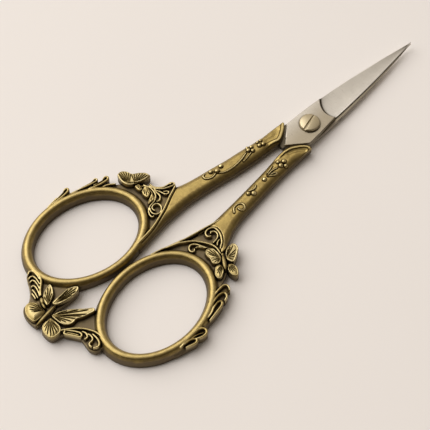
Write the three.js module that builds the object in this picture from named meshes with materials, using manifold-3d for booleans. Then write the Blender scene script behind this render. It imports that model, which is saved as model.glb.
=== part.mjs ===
// Embroidery scissors with cast bronze handles, butterflies and scrolls, in millimetres.
// The pivot stands on the origin, the blades point to +X and the scissors lie on z = 0.
// Left is +Y and right is -Y, as seen by someone who points the blades away.
import * as THREE from 'three';
import { mergeVertices } from 'three/addons/utils/BufferGeometryUtils.js';
import Module from 'manifold-3d';

const wasm = await Module();
wasm.setup();

// Blades: both are the same plate, the back one turned over about the X axis
const bladeLength = 38;          // pivot to tip
const bladeHalfWidth = 3.95;     // pivot to the spine
const edgeShare = 0.82;          // the cutting side is this share of the spine side
const taperPower = 1.6;          // how late the outline runs in to the tip
const bladeThickness = 1.1;
const bladeLean = 1.2;           // degrees that the closed blades lean to the left
const heelBack = 9.1;            // pivot to the rear point of a blade's heel
const heelSide = 4.4;            // pivot to the heel's corner on the spine side, along X
const heelRise = 0.36;           // how far the rear point lies off the middle
const heelSkew = 0.3;            // the cutting side's corner lies this much further forward
const heelFlare = 0.28;          // and this much further out
const bluntHalfWidth = 3.87;     // pivot to the blunt part of the cutting side
const hollowStart = 5.2;         // pivot to the nearest point of the hollow ground
const hollowSag = 1.1;           // how far its crescent runs forward at the edges
const hollowStep = 0.25;         // depth of the step at its start, along the spine
const hollowInset = 0.06;        // how far the crescent's ends stop inside the outline
const edgeThickness = 0.25;
const tipThickness = 0.5;
const tipHalfWidth = 0.12;
const tangLength = 6.5;          // heel to the end of the tang in the handle
const tangWidth = 2.2;
const tangThickness = 0.6;
const tangTaper = 0.8;           // width at its end, as a share of its width at the heel
const tangRoot = 1.5;            // how far it reaches into the blade
const tangTurn = 12.7;           // degrees between the tang and the blade

// Pivot
const screwRadius = 1.5;
const headRadius = 2.8;
const headRim = 0.35;            // height of the straight rim of the head
const headDome = 0.6;            // rise of the dome over the rim
const slotWidth = 0.7;
const slotDepth = 0.5;
const slotTurn = 27;             // degrees from the X axis
const nutRadius = 2.6;
const nutHeight = 0.45;
const notchWidth = 0.8;          // the nut's two spanner notches, as seen from below
const notchDepth = 0.22;

// Rings: ellipses that lean towards the middle at the front
const ringHalfLength = 15.17;    // to the centre line of the bar
const ringHalfWidth = 11.35;
const ringWidth = 2.2;
const ringHeight = 3.2;
const ringFootInset = 0.22;      // bevel along the lower edges of the bar
const ringFootRise = 0.38;
const ringToe = 6;               // degrees
const ringSteps = 48;            // facets round a ring
const ringDistance = 62.3;       // pivot to the ring centres, along X
const middleOffset = 0.5;        // the handles' middle line lies this far left of the pivot

// Shanks and plates of the handles
const shankBottom = 0.4;
const shankTop = 3.1;
const shankRound = 0.5;          // rounding of the shank's edges
const shankGap = 2;              // heel to the first station of the shank's edges
const plateBottom = 0.5;
const plateTop = 1.8;            // the recessed ground behind the ornament
const ornamentTop = 3.1;         // crest of scrolls, borders and leaves
const wingTop = 3.3;             // upper face of the butterflies, under their ribs
const wingRound = 0.25;
const wingStep = 0.07;           // each wing of a butterfly lies this much under the one before
const bowReach = 9.5;            // ring front to the last station of the shank's edges

// Clearances
const bladeGap = 0.2;            // between the blades' inner faces
const runningGap = 0.08;         // round the screw, in the blades and the nut
const tangGap = 0.2;             // above and beside a tang, which rests on its slot's floor
const endGap = 0.35;             // between a heel and the end of its handle
const seatGap = 0.3;             // round a butterfly that is soldered to its handle
const ringGap = 0.3;             // middle line to the nearest side of each ring

// Bars and beads of the relief
const borderRadius = 0.34;
const scrollRadius = 0.28;
const ribRadius = 0.2;
const ribStart = 0.3;            // share of the way from a wing's root where its ribs begin
const ribStep = 0.03;            // each rib of a wing lies this much under the one before
const curlRadius = 0.35;         // scrolls along the outside of the rings
const curlFloor = 2.2;           // the ground inside those scrolls
const crestShare = 0.4;          // width of a bar's flat crest, as a share of its width
const shoulderShare = 0.7;       // how far its shoulders lie under the crest, against half its width
const rootDepth = 0.2;           // how deep bars are rooted in their ground
const spiralRadius = 1.3;
const spiralTurns = 1.25;
const spiralShrink = 0.5;        // how much nearer to its middle the spiral ends
const spiralStart = -150;        // degrees
const braidCurl = [[0, 0], [-0.3, 0.85], [-0.75, 0.95], [-1.05, 0.55]];
const beadRadius = 0.5;
const beadSink = 0.15;           // how far a bead's middle lies under the shank's top

const rad = THREE.MathUtils.degToRad;
const bladeLevel = nutHeight + bladeThickness;                  // inner face of the back blade
const frontLevel = bladeLevel + bladeGap;                       // inner face of the front blade
const frontTop = frontLevel + bladeThickness;
const lean = rad(bladeLean);
const ringReach = Math.hypot(ringHalfLength * Math.sin(rad(ringToe)), ringHalfWidth * Math.cos(rad(ringToe)));
const ringSpread = ringReach + ringWidth / 2 + ringGap;         // middle line to each ring centre

const steel = { color: 0xb9b4aa, roughness: 0.32, metalness: 1 };
const screwSteel = { color: 0xb5aa8c, roughness: 0.38, metalness: 1 };
const bronze = { color: 0x8a7440, roughness: 0.42, metalness: 1 };
const wingBronze = { color: 0x9c8650, roughness: 0.38, metalness: 1 };

// Closed meshes in and out of the library that joins and cuts them

function solid(geometry) {
  const bare = geometry.clone();
  bare.deleteAttribute('normal');
  bare.deleteAttribute('uv');
  const merged = mergeVertices(bare);
  const vertProperties = new Float32Array(merged.attributes.position.array);
  const triVerts = new Uint32Array(merged.index.array);
  return new wasm.Manifold(new wasm.Mesh({ numProp: 3, vertProperties, triVerts }));
}

function join(pieces) {
  return pieces.reduce((whole, piece) => whole.add(piece));
}

function cut(body, tools) {
  return tools.reduce((rest, tool) => rest.subtract(tool), body);
}

function node(name, body, look) {
  const mesh = body.getMesh();
  const geometry = new THREE.BufferGeometry();
  geometry.setAttribute('position', new THREE.BufferAttribute(mesh.vertProperties, 3));
  geometry.setIndex(new THREE.BufferAttribute(mesh.triVerts, 1));
  geometry.computeVertexNormals();
  const result = new THREE.Mesh(geometry, new THREE.MeshStandardMaterial(look));
  result.name = name;
  return result;
}

// Shapes

const shifted = (points, [dx, dy]) => points.map(([x, y]) => [x + dx, y + dy]);

// A smooth line through the given points, closed or open
function smooth(points, closed = true, perPoint = 2) {
  const corners = points.map(([x, y]) => new THREE.Vector3(x, y, 0));
  const curve = new THREE.CatmullRomCurve3(corners, closed);
  const spaced = curve.getPoints((closed ? points.length : points.length - 1) * perPoint);
  const kept = closed ? spaced.slice(0, -1) : spaced;
  return kept.map((p) => [p.x, p.y]);
}

// A closed outline moved outwards by a distance, corner by corner
function grown(points, distance) {
  const sense = THREE.ShapeUtils.isClockWise(points.map(([x, y]) => ({ x, y }))) ? -1 : 1;
  return points.map(([x, y], i) => {
    const [ax, ay] = points[(i + points.length - 1) % points.length];
    const [bx, by] = points[(i + 1) % points.length];
    const along = Math.hypot(bx - ax, by - ay);
    return [x + sense * distance * (by - ay) / along, y - sense * distance * (bx - ax) / along];
  });
}

// An outline without the points that lie on a straight line between their neighbours
function bent(points) {
  return points.filter(([x, y], i) => {
    const [ax, ay] = points[(i + points.length - 1) % points.length];
    const [bx, by] = points[(i + 1) % points.length];
    return Math.abs((x - ax) * (by - ay) - (y - ay) * (bx - ax)) > 1e-6;
  });
}

// A flat slab with the given outline, its upper and lower edges rounded by round
function slab(points, bottom, top, round = 0) {
  const shape = new THREE.Shape(bent(points).map(([x, y]) => new THREE.Vector2(x, y)));
  const geometry = new THREE.ExtrudeGeometry(shape, {
    depth: top - bottom - 2 * round,
    bevelEnabled: round > 0,
    bevelThickness: round,
    bevelSize: round,
    bevelOffset: -round,
    bevelSegments: 1,
  });
  geometry.translate(0, 0, bottom + round);
  return solid(geometry);
}

// A ridge along a smooth line, with upright sides and a crest at the height top
function ridge(points, halfWidth, bottom, top) {
  const line = smooth(points, false, 2);
  const shoulder = top - halfWidth * shoulderShare;
  const section = [[1, bottom], [1, shoulder], [crestShare, top], [-crestShare, top], [-1, shoulder],
    [-1, bottom]];
  return loft(line.map(([x, y], i) => {
    const [ax, ay] = line[Math.max(i - 1, 0)];
    const [bx, by] = line[Math.min(i + 1, line.length - 1)];
    const scale = halfWidth / Math.hypot(bx - ax, by - ay);
    return section.map(([across, z]) => [
      x - across * scale * (by - ay), y + across * scale * (bx - ax), z,
    ]);
  }));
}

// A bead, dome or leaf lobe: an ellipsoid with its middle at the height level
function lobe([x, y], halfLength, halfWidth, rise, level, turn = 0) {
  const geometry = new THREE.SphereGeometry(1, 8, 5);
  geometry.rotateX(Math.PI / 2);
  geometry.scale(halfLength, halfWidth, rise);
  geometry.rotateZ(rad(turn));
  geometry.translate(x, y, level);
  return solid(geometry);
}

// A body turned about the Z axis from a closed profile of [radius, height]
function turned(profile) {
  const points = profile.map(([radius, height]) => new THREE.Vector2(radius, height));
  const geometry = new THREE.LatheGeometry(points, 36);
  geometry.rotateX(Math.PI / 2);
  return solid(geometry);
}

// A closed body through rings of corners; closed rings of rings join last to first
function loft(rings, endless = false) {
  const count = rings[0].length;
  const index = [];
  const spans = endless ? rings.length : rings.length - 1;
  for (let r = 0; r < spans; r++) {
    const here = r * count;
    const next = ((r + 1) % rings.length) * count;
    for (let c = 0; c < count; c++) {
      const d = (c + 1) % count;
      index.push(here + c, here + d, next + c, here + d, next + d, next + c);
    }
  }
  if (!endless) {
    const last = (rings.length - 1) * count;
    for (let c = 1; c < count - 1; c++) {
      index.push(0, c + 1, c, last, last + c, last + c + 1);
    }
  }
  const geometry = new THREE.BufferGeometry();
  geometry.setAttribute('position', new THREE.Float32BufferAttribute(rings.flat(2), 3));
  geometry.setIndex(index);
  return solid(geometry);
}

// Blades

const spineY = (x) => bladeHalfWidth * (1 - Math.min(Math.max(x, 0) / bladeLength, 1) ** taperPower);
const heelSpine = [-heelSide, bladeHalfWidth];
const heelRear = [-heelBack, -heelRise];
const heelEdge = [-heelSide + heelSkew, -bladeHalfWidth - heelFlare];

// The line of the step where the hollow ground begins, from the cutting side to the spine
function crescent() {
  const stations = 9;
  return Array.from({ length: stations }, (_, i) => {
    const share = 2 * i / (stations - 1) - 1;
    const x = hollowStart + hollowSag * share ** 2;
    const width = spineY(x) * (share < 0 ? edgeShare : 1) - hollowInset;
    return [x, share * width];
  });
}

function workingBlade() {
  const stations = 12;
  const start = hollowStart - 1;
  return loft(Array.from({ length: stations + 1 }, (_, i) => {
    const share = i / stations;
    const x = THREE.MathUtils.lerp(start, bladeLength, share);
    const spine = Math.max(spineY(x), tipHalfWidth);
    const edge = -Math.max(edgeShare * spineY(x), tipHalfWidth);
    const spineZ = THREE.MathUtils.lerp(bladeThickness - hollowStep, tipThickness, share);
    return [[x, edge, 0], [x, spine, 0], [x, spine, spineZ], [x, edge, edgeThickness]];
  }));
}

// The tang runs from under the heel into the handle, on the cutting side
function tangOutline(extra = 0) {
  const middle = [(heelRear[0] + heelEdge[0]) / 2, (heelRear[1] + heelEdge[1]) / 2];
  const direction = [-Math.cos(rad(tangTurn)), -Math.sin(rad(tangTurn))];
  const half = tangWidth / 2 + extra;
  const at = (along, across) => [
    middle[0] + direction[0] * along - direction[1] * across,
    middle[1] + direction[1] * along + direction[0] * across,
  ];
  const far = tangLength + extra;
  return [at(-tangRoot, -half), at(far, -half * tangTaper), at(far, half * tangTaper), at(-tangRoot, half)];
}

function bladeSolid() {
  const blunt = [0, -bluntHalfWidth];
  const plate = slab([heelSpine, heelRear, heelEdge, blunt, ...crescent()], 0, bladeThickness);
  const tang = slab(tangOutline(), 0, tangThickness);
  const hole = turned([
    [0, -1], [screwRadius + runningGap, -1], [screwRadius + runningGap, bladeThickness + 1],
    [0, bladeThickness + 1],
  ]);
  return join([plate, workingBlade(), tang]).subtract(hole);
}

function blades() {
  const front = node('front_blade', bladeSolid(), steel);
  front.position.z = frontLevel;
  front.rotation.z = lean;
  const back = node('back_blade', bladeSolid(), steel);
  back.position.z = bladeLevel;
  back.rotation.set(Math.PI, 0, lean, 'ZYX');
  return [front, back];
}

// Pivot: a slotted screw through both blades, held by a thin round nut underneath

function pivotScrew() {
  const rim = frontTop + headRim;
  const dome = Array.from({ length: 5 }, (_, i) => {
    const a = rad(90 * i / 4);
    return [headRadius * Math.cos(a), rim + headDome * Math.sin(a)];
  });
  dome[4][0] = 0;
  const body = turned([
    [0, 0], [screwRadius, 0], [screwRadius, frontTop], [headRadius, frontTop], ...dome,
  ]);
  const half = slotWidth / 2;
  const reach = headRadius + 1;
  const slot = slab(
    [[-reach, -half], [reach, -half], [reach, half], [-reach, half]],
    rim + headDome - slotDepth, rim + headDome + 1,
  );
  return node('pivot_screw', body.subtract(slot.rotate([0, 0, slotTurn])), screwSteel);
}

function pivotNut() {
  const inner = screwRadius + runningGap;
  const ring = turned([[inner, 0], [nutRadius, 0], [nutRadius, nutHeight], [inner, nutHeight], [inner, 0]]);
  const half = notchWidth / 2;
  const notches = [-1, 1].map((side) => slab([
    [side * (nutRadius - notchWidth), -half], [side * (nutRadius + 1), -half],
    [side * (nutRadius + 1), half], [side * (nutRadius - notchWidth), half],
  ], -1, notchDepth));
  return node('pivot_nut', cut(ring, notches), screwSteel);
}

// Handles. Their points are written from the middle line, which middleOffset then moves.

// A point on a ring, by its angle and its distance outside the bar's centre line
function ringPoint(side, degrees, outside = 0) {
  const t = rad(degrees);
  const nx = Math.cos(t) / ringHalfLength;
  const ny = Math.sin(t) / ringHalfWidth;
  const n = Math.hypot(nx, ny);
  const x = ringHalfLength * Math.cos(t) + outside * nx / n;
  const y = ringHalfWidth * Math.sin(t) + outside * ny / n;
  const toe = rad(-ringToe);
  return [
    x * Math.cos(toe) - y * Math.sin(toe) - ringDistance,
    side * (x * Math.sin(toe) + y * Math.cos(toe) + ringSpread),
  ];
}

// A line of points once round a ring, this far outside the bar's centre line
const ringLine = (side, outside = 0) => Array.from({ length: ringSteps }, (_, i) => (
  ringPoint(side, side * 360 * i / ringSteps, outside)));

// A plate that starts and ends at a ring and stops inside the ring's bar
function ringPlate(side, line) {
  const centre = [-ringDistance, side * ringSpread];
  const hole = slab(ringLine(side), plateBottom - 1, plateTop + 1);
  return slab([...line, centre], plateBottom, plateTop).subtract(hole);
}

// The ring's bar: flat underneath, upright sides and an elliptic crown
function ringSolid(side) {
  const half = ringWidth / 2;
  const crown = Array.from({ length: 7 }, (_, i) => {
    const a = rad(180 * i / 6);
    return [-half * Math.cos(a), ringHeight / 2 * (1 + Math.sin(a))];
  });
  const foot = half - ringFootInset;
  const section = [[-foot, 0], [-half, ringFootRise], ...crown, [half, ringFootRise], [foot, 0]];
  const rings = Array.from({ length: ringSteps }, (_, i) => section.map(([outside, z]) => (
    [...ringPoint(side, side * 360 * i / ringSteps, outside), z])));
  return loft(rings, true);
}

// Where a handle ends: a share along its blade's heel, and a distance away from the heel
function heelPoint(side, share, away) {
  const rear = [heelRear[0], -side * heelRear[1]];
  const edge = [heelEdge[0], -side * heelEdge[1]];
  const run = [edge[0] - rear[0], edge[1] - rear[1]];
  const length = Math.hypot(...run);
  const out = [side * -run[1] / length, side * run[0] / length];
  const x = rear[0] + run[0] * share + out[0] * (away + endGap);
  const y = rear[1] + run[1] * share + out[1] * (away + endGap);
  return [
    x * Math.cos(lean) - y * Math.sin(lean),
    x * Math.sin(lean) + y * Math.cos(lean) - middleOffset,
  ];
}

const shankStart = -heelBack - shankGap;
const shankEnd = ringPoint(1, 0)[0] + bowReach;

// The two edges of each shank, as heights at even stations from front to rear
const shankEdges = {
  left: { inner: [0.85, 1.4, 1.95, 2.45, 2.85], outer: [4.6, 5.2, 5.95, 6.8, 8.5] },
  right: { inner: [-2.35, -3.3, -4.2, -5.05, -5.5], outer: [-6.35, -7.1, -7.85, -8.6, -11] },
};

function shankEdge(heights) {
  const last = heights.length - 1;
  const points = heights.map((y, i) => [THREE.MathUtils.lerp(shankStart, shankEnd, i / last), y]);
  return smooth(points, false);
}

// A place on a shank: a share of its length, and a distance from its middle towards the left
function onShank(name, share, across) {
  const { inner, outer } = shankEdges[name];
  const place = share * (inner.length - 1);
  const i = Math.min(Math.floor(place), inner.length - 2);
  const middle = (k) => (inner[k] + outer[k]) / 2;
  const y = THREE.MathUtils.lerp(middle(i), middle(i + 1), place - i) + across;
  return [THREE.MathUtils.lerp(shankStart, shankEnd, share), y];
}

// Each handle's own forms. Bow points start at the ring's front, tail points at its rear
// along X and at the middle line along Y. Scrolls on the ring are [degrees, outside].
const handles = {
  left: {
    side: 1,
    end: [[0.01, 1], [0.92, 0.5]],
    shankRear: [[7.2, -3.85], [4.2, -5.45], [1.2, -6.9], [-1.8, -7.85], [-4.8, -8.3], [-7.6, -8.7],
      [-8, -10.3], [-2.8, -9.35], [1.2, -8.65], [5.2, -8.35]],
    plate: [[-1.9, 8.9], [-0.2, 7.9], [1, 7], [5.4, 2.2], [7.2, -0.4], [8.8, -0.9], [9.8, -1.4], [9.8, -2.7],
      [7.2, -3.85], [4.2, -5.45], [1.2, -6.9], [-1.8, -7.85], [-4.8, -8.4]],
    borders: [
      [[-7.3, -9], [-4.8, -8.3], [-1.8, -7.85], [1.2, -6.95], [4.2, -5.5], [7.2, -3.85], [9.7, -2.7]],
      [[5.3, 1.9], [5.9, 0.3], [7.2, -1], [8.5, -1.6], [9.4, -1.3]],
    ],
    scrolls: [
      [[-0.3, -5.3], [-0.1, -4.4], [0.5, -3.2], [1.7, -2.6], [2.9, -2.4]],
      [[4.4, 2], [4.6, -0.3], [4.5, -1.9], [3.9, -2.8]],
      [[5.2, 0.3], [5.8, -1.3], [6.5, -2.3], [7.1, -2.5]],
    ],
    spiral: [1.95, -4.25],
    lobes: [[3, 3, 0.95, 1.1, 0], [3.1, 0.8, 1, 1.2, 0], [2.5, -1.3, 1.2, 0.7, 25]],
    wings: [
      [[1.1, 6.6], [0.9, 7.9], [1.2, 9.1], [1.9, 9.7], [2.8, 9.5], [3.7, 8.4], [4.2, 7.1], [5.5, 6.3],
        [6.7, 5.4], [7.1, 4.4], [6.8, 3.7], [5.7, 3.7], [4.2, 4], [2.6, 4.8], [1.5, 5.6]],
    ],
    wingRoots: [[2.9, 5.3]],
    ribs: [[0, [1.6, 8.9], [2.6, 8.9], [3.4, 7.6], [4.7, 6.4], [5.9, 5.6], [6.5, 4.5]]],
    bodies: [[1.6, 6.1, 1.1, 0.45, 60], [4.6, 4.1, 2.2, 0.45, -8]],
    curls: [
      [[95.3, 0.3], [86.3, 0.85], [79.8, 1.5], [78.2, 2.15], [80.4, 2.3]],
      [[62.1, 0.4], [56.3, 1.4], [52.2, 2.05], [52.2, 2.55], [54.8, 2.4]],
      [[54.4, 0.3], [47.9, 1.55], [44, 2.5], [43.2, 3.25], [45.7, 3.15]],
      [[47.4, 0.35], [42.7, 1.15], [37.7, 1.5]],
    ],
    tail: [[3.9, 3.3], [2.9, 2], [-0.6, 1.95], [-3.1, 1.9], [-6.1, 1.8], [-9, 1.65], [-9.4, 2.6],
      [-9.5, 4.5], [-9, 6.6], [-7.8, 7.7], [-6.4, 8.2], [-4.9, 9.3], [-3.9, 10.8], [-2.9, 12.2],
      [-2.1, 13.6], [-1.4, 14.4]],
    tailBars: [[[-0.2, 11.2], [-2.1, 9.3], [-4.4, 7.9]]],
    braid: { count: 5, from: [-0.3, 11.8], step: [-0.86, -0.95], reach: 1.9, shrink: 0.9 },
    tailWings: [
      [[-8.8, 3], [-9.2, 4.5], [-8.9, 6.3], [-7.9, 7.4], [-6.6, 7.6], [-5.7, 7], [-5.2, 5.9],
        [-5.2, 4.2], [-6, 3.2]],
      [[-9.2, 1.85], [-9.1, 2.75], [-6, 3.7], [-3.4, 3.9], [-2.8, 3.1], [-4.2, 2.3], [-6.2, 1.9]],
      [[-5, 3.5], [-4.3, 5.6], [-3.1, 7], [-0.9, 8.2], [-0.4, 8], [-0.3, 7.4], [-1.2, 6], [-2.8, 4.8],
        [-3.6, 3.6]],
      [[-3.5, 2.9], [-3.3, 4], [-0.6, 4.4], [1.5, 4.5], [3, 3.9], [4, 3.2], [3.2, 2.5], [1.7, 2.05],
        [-0.6, 2.4]],
    ],
    tailRibs: [
      [[-6.2, 3.9], [-8.6, 5.4], [-7.9, 6.6], [-6.8, 7], [-5.9, 6.4]],
      [[-3.8, 5], [-2.8, 6.5], [-1.2, 7.4]],
      [[-2.9, 3.5], [0.5, 3.9], [2.9, 3.3], [1.4, 2.6]],
    ],
    tailBodies: [[-6, 2.7, 3, 0.5, 13], [-4.5, 5.9, 0.8, 0.8, 0]],
    beads: [[0.11, 0.25], [0.1, 1.3], [0.065, 1.3], [0.075, 0], [0.23, 0.9], [0.205, 1.7],
      [0.185, 1.1], [0.2, 0.2], [0.64, 0.95], [0.6, 0.3], [0.54, 0.95]],
    stems: [[[0.59, -0.5], [0.52, -1], [0.43, -1.05], [0.35, -0.65], [0.28, 0.1], [0.24, 0.5]],
      [[0.73, 1.4], [0.74, 0.5], [0.71, -0.2], [0.67, -0.45], [0.63, -0.1]]],
    rim: [[0.03, 1.4], [0.45, 1.15], [0.88, 0.95]],
  },
  right: {
    side: -1,
    end: [[0, 0.5], [0.3, 0.15], [0.62, 0.15], [0.85, 0.4], [1.03, 1.2]],
    shankRear: [[9, 4.2], [8.9, 2.6], [7.8, 1], [6.1, -0.6], [5.2, -1.5], [6.7, -1.8], [8.3, -0.8]],
    plate: [[-1.1, -8.1], [0.7, -7.4], [5.4, -3.8], [5.6, -1.4], [6.6, -0.6], [8.3, 1], [9.5, 2.6],
      [9.9, 4.2], [10.2, 5.3], [8.2, 5.6], [5.2, 5.9], [1.2, 6.75], [-2.8, 7.9], [-6.8, 9.2]],
    borders: [
      [[-7.2, 9.2], [-2.8, 7.95], [1.2, 6.8], [5.2, 5.95], [8.4, 5.6], [10.6, 5.6]],
      [[-0.8, 7], [1.2, 6.1], [2.7, 4.8], [4, 3.2], [4.8, 1.7], [5.2, 0.2]],
    ],
    scrolls: [
      [[3.3, 1.7], [2.9, 2.8], [2.2, 4.1], [1.3, 4.7], [0.4, 4.4], [0.2, 3.6], [0.8, 3.2]],
      [[5.7, -0.5], [6.9, 0.4], [8.1, 1.6], [8.7, 3], [8.6, 4.3], [7.7, 5], [6.6, 5.1], [5.9, 4.4],
        [6.1, 3.6], [6.8, 3.5]],
      [[6.9, 4], [7.6, 4.1], [8, 3.5], [7.8, 2.5], [6.9, 2], [5.8, 1.85]],
    ],
    lobes: [[7, 0.9, 0.9, 0.4, 30]],
    wings: [
      [[2, 0.4], [2.6, 1.2], [3.6, 1.2], [4.3, 0.6], [4.5, -0.6], [4.4, -2], [4, -3.2], [2.6, -3.2],
        [1.8, -2.5], [1.8, -1.6], [2.1, -1]],
      [[3.7, -3.8], [1.8, -3.5], [0.7, -4.3], [0.1, -5.6], [0.5, -6.4], [1.3, -6.5], [2.3, -5.7],
        [3.4, -4.8]],
      [[4.9, -2.8], [6.7, -1.9], [8.2, -1.5], [9.1, -1.9], [9.2, -2.8], [8.5, -3.7], [7.3, -4.3],
        [6.3, -5.3], [5.5, -5.1], [4.6, -4.2]],
      [[3.2, -5], [4.4, -5], [5.1, -6.1], [5, -7.4], [4.3, -8.6], [3.4, -9.1], [2.8, -8.5],
        [2.8, -7]],
    ],
    wingRoots: [[3.8, -2.6], [3, -4.5], [5.2, -3.9], [3.9, -5.6]],
    ribs: [[0, [2.6, 0.6], [3.6, 0.7], [2.3, -1.6]], [1, [1.3, -4.7], [0.8, -5.8]],
      [2, [7.2, -2.3], [8.6, -2.4], [6.6, -4.6]], [3, [4.6, -7], [3.4, -8.3]]],
    bodies: [[4.2, -3.8, 2, 0.6, 61]],
    curls: [
      [[54.2, -0.15], [45.9, 0.55], [39.7, 1.5], [36.5, 2.65], [37.3, 3.5], [40.3, 3.4]],
      [[60.9, 0.25], [52.7, 0.7], [46.3, 1.55], [44, 2.35], [45, 2.9], [47.7, 2.9]],
      [[67.4, 0.55], [59.4, 0.8], [54.3, 1.3], [53, 2], [54.5, 2.45], [57.5, 2.3]],
      [[97.9, 0.2], [90.4, 0.2], [85.2, 0.4], [81.7, 1.2], [81.9, 1.9], [84.5, 2.15]],
      [[93.5, 0.75], [89.3, 1.15], [86.8, 1.85]],
      [[102.7, 0.85], [97.2, 0.8], [94.3, 1.15], [93.7, 1.85], [96.5, 2], [100, 1.5]],
    ],
    tail: [[3.8, -3.7], [2.7, -3.2], [0.4, -1.5], [-2.1, 0.2], [-4.1, 1], [-7.1, 1.1], [-8.2, 0.9],
      [-8.9, -0.1], [-9.1, -1.2], [-8.8, -2.7], [-8.1, -3.3], [-6.2, -3.6], [-5.6, -4.6],
      [-4.5, -6.2], [-3.6, -7.4], [-3.8, -9.6], [-3.9, -10.8], [-3.4, -12], [-2.4, -12.5],
      [-1.2, -12.5]],
    tailBars: [
      [[-5.4, -3.9], [-3.1, -5.4], [-1.4, -7.4], [-0.4, -9.3], [-0.1, -11], [-0.3, -12.2]],
      [[-5.6, -4.3], [-4.6, -5.7], [-3.6, -6.9], [-3, -6.5]],
      [[-2.9, -6.9], [-2.4, -7.7], [-2.8, -8.4], [-3.5, -8.6]],
      [[-1.9, -8.4], [-1.8, -9.1], [-2.3, -9.7], [-3.2, -10.1]],
      [[-1.2, -9.5], [-1, -10.7], [-1.8, -11.7], [-2.8, -11.9], [-3.5, -11.2], [-3.3, -10.4]],
    ],
    tailWings: [
      [[-7.1, 0.9], [-8.1, 0.8], [-8.8, -0.1], [-9, -1.2], [-8.7, -2.6], [-7.9, -3.1], [-6.1, -3.2],
        [-5.4, -2.4], [-5.1, -1], [-5, 0.7]],
      [[-5.6, 0.7], [-4.2, 0.9], [-2.1, 0.1], [0.4, -1.6], [2.5, -3.1], [3.2, -3.7], [3, -4.2],
        [2.4, -4.4], [0.6, -3.9], [-1.6, -3.1], [-2.9, -3.2], [-4.1, -2.6], [-5, -1.5]],
    ],
    tailRibs: [
      [[-5.9, 0.3], [-8, -1.6], [-7.2, -2.4], [-6.2, -2.6]],
      [[-5, 0.4], [-3.9, -1.8], [-2.9, -2.5], [-1.6, -2.6], [0.2, -3.3], [2, -3.7]],
    ],
    tailBodies: [],
    beads: [[0.12, 1], [0.125, -0.1], [0.075, 0.15], [0.095, -1], [0.545, 0.95], [0.51, 0],
      [0.345, 0.75]],
    stems: [[[0.78, 0], [0.755, 0.9], [0.72, 1], [0.685, 0.5], [0.675, -0.5], [0.7, -1], [0.73, -0.7],
      [0.72, -0.1]], [[0.52, 1.3], [0.49, 0.85], [0.45, 0.7], [0.44, 1]],
    [[0.31, 0.9], [0.25, 0.8], [0.2, 1.3]], [[0.3, 0.6], [0.22, 0.3], [0.165, 0]],
    [[0.29, 0.2], [0.25, -0.4], [0.2, -0.6]]],
    rim: [[-0.12, 1.3], [0.08, 0.95], [0.32, 0.7], [0.62, 0.75], [0.84, 1.05], [0.99, 1.7]],
  },
};

// Top view outlines of a butterfly's wings
const wingOutlines = (wings, origin) => wings.map((points) => smooth(shifted(points, origin)));

// Ribs fan out from a wing's root to points near its rim. They start off the root itself.
function wingRibs(lines, origin) {
  const bottom = wingTop - 3 * ribRadius;
  return lines.map(([root, ...ends]) => ends.map((end, i) => {
    const start = root.map((value, k) => THREE.MathUtils.lerp(value, end[k], ribStart));
    return ridge(shifted([start, end], origin), ribRadius, bottom, wingTop + ribRadius - i * ribStep);
  })).flat();
}

function butterfly(wings, ribs, bodies, origin) {
  const plates = wingOutlines(wings, origin).map((points, i) => (
    slab(points, plateTop, wingTop - i * wingStep, wingRound)));
  const trunks = bodies.map(([x, y, long, wide, turn]) => (
    lobe([x + origin[0], y + origin[1]], long, wide, wide, wingTop, turn)));
  return join([...plates, ...trunks, ...wingRibs(ribs, origin)]);
}

// The braid of overlapping curls along the outer edge of the left tail
function braidLines({ count, from, step, reach, shrink }) {
  return Array.from({ length: count }, (_, i) => {
    const size = reach * shrink ** i;
    return braidCurl.map(([x, y]) => [
      from[0] + step[0] * i + x * size, from[1] + step[1] * i + y * size,
    ]);
  });
}

function spiralLine([x, y]) {
  const steps = 8;
  return Array.from({ length: steps + 1 }, (_, i) => {
    const a = rad(spiralStart + 360 * spiralTurns * i / steps);
    const r = spiralRadius - spiralShrink * i / steps;
    return [x + r * Math.cos(a), y + r * Math.sin(a)];
  });
}

// The raised ornament on the two plates of a handle, and the scrolls outside its ring
function ornament(name, front, rear) {
  const form = handles[name];
  const bow = [...form.scrolls, ...(form.spiral ? [spiralLine(form.spiral)] : [])];
  const tail = [...form.tailBars, ...(form.braid ? braidLines(form.braid) : [])];
  const root = plateTop - rootDepth;
  const curls = form.curls.map((line) => (
    line.map(([degrees, outside]) => ringPoint(form.side, degrees, outside))));
  return [
    ...form.borders.map((line) => ridge(shifted(line, front), borderRadius, root, ornamentTop)),
    ...bow.map((line) => ridge(shifted(line, front), scrollRadius, root, ornamentTop)),
    ...tail.map((line) => ridge(shifted(line, rear), scrollRadius, root, ornamentTop)),
    ...form.lobes.map(([x, y, long, wide, turn]) => (
      lobe([x + front[0], y + front[1]], long, wide, ornamentTop - plateTop, plateTop, turn))),
    ...curls.map((line) => ridge(line, curlRadius, plateBottom, ornamentTop)),
    ...curls.map((line) => slab(line, plateBottom, curlFloor)),
  ];
}

// The beads, stems and rim that stand on a shank
function shankRelief(name) {
  const form = handles[name];
  const root = shankTop - ribRadius;
  const rimLine = form.rim.map(([share, away]) => heelPoint(form.side, share, away));
  return [
    ...form.beads.map(([share, across]) => (
      lobe(onShank(name, share, across), beadRadius, beadRadius, beadRadius, shankTop - beadSink))),
    ...form.stems.map((line) => ridge(line.map(([share, across]) => onShank(name, share, across)),
      ribRadius, root, shankTop + ribRadius)),
    ridge(rimLine, borderRadius, root, shankTop + ribRadius),
  ];
}

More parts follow.
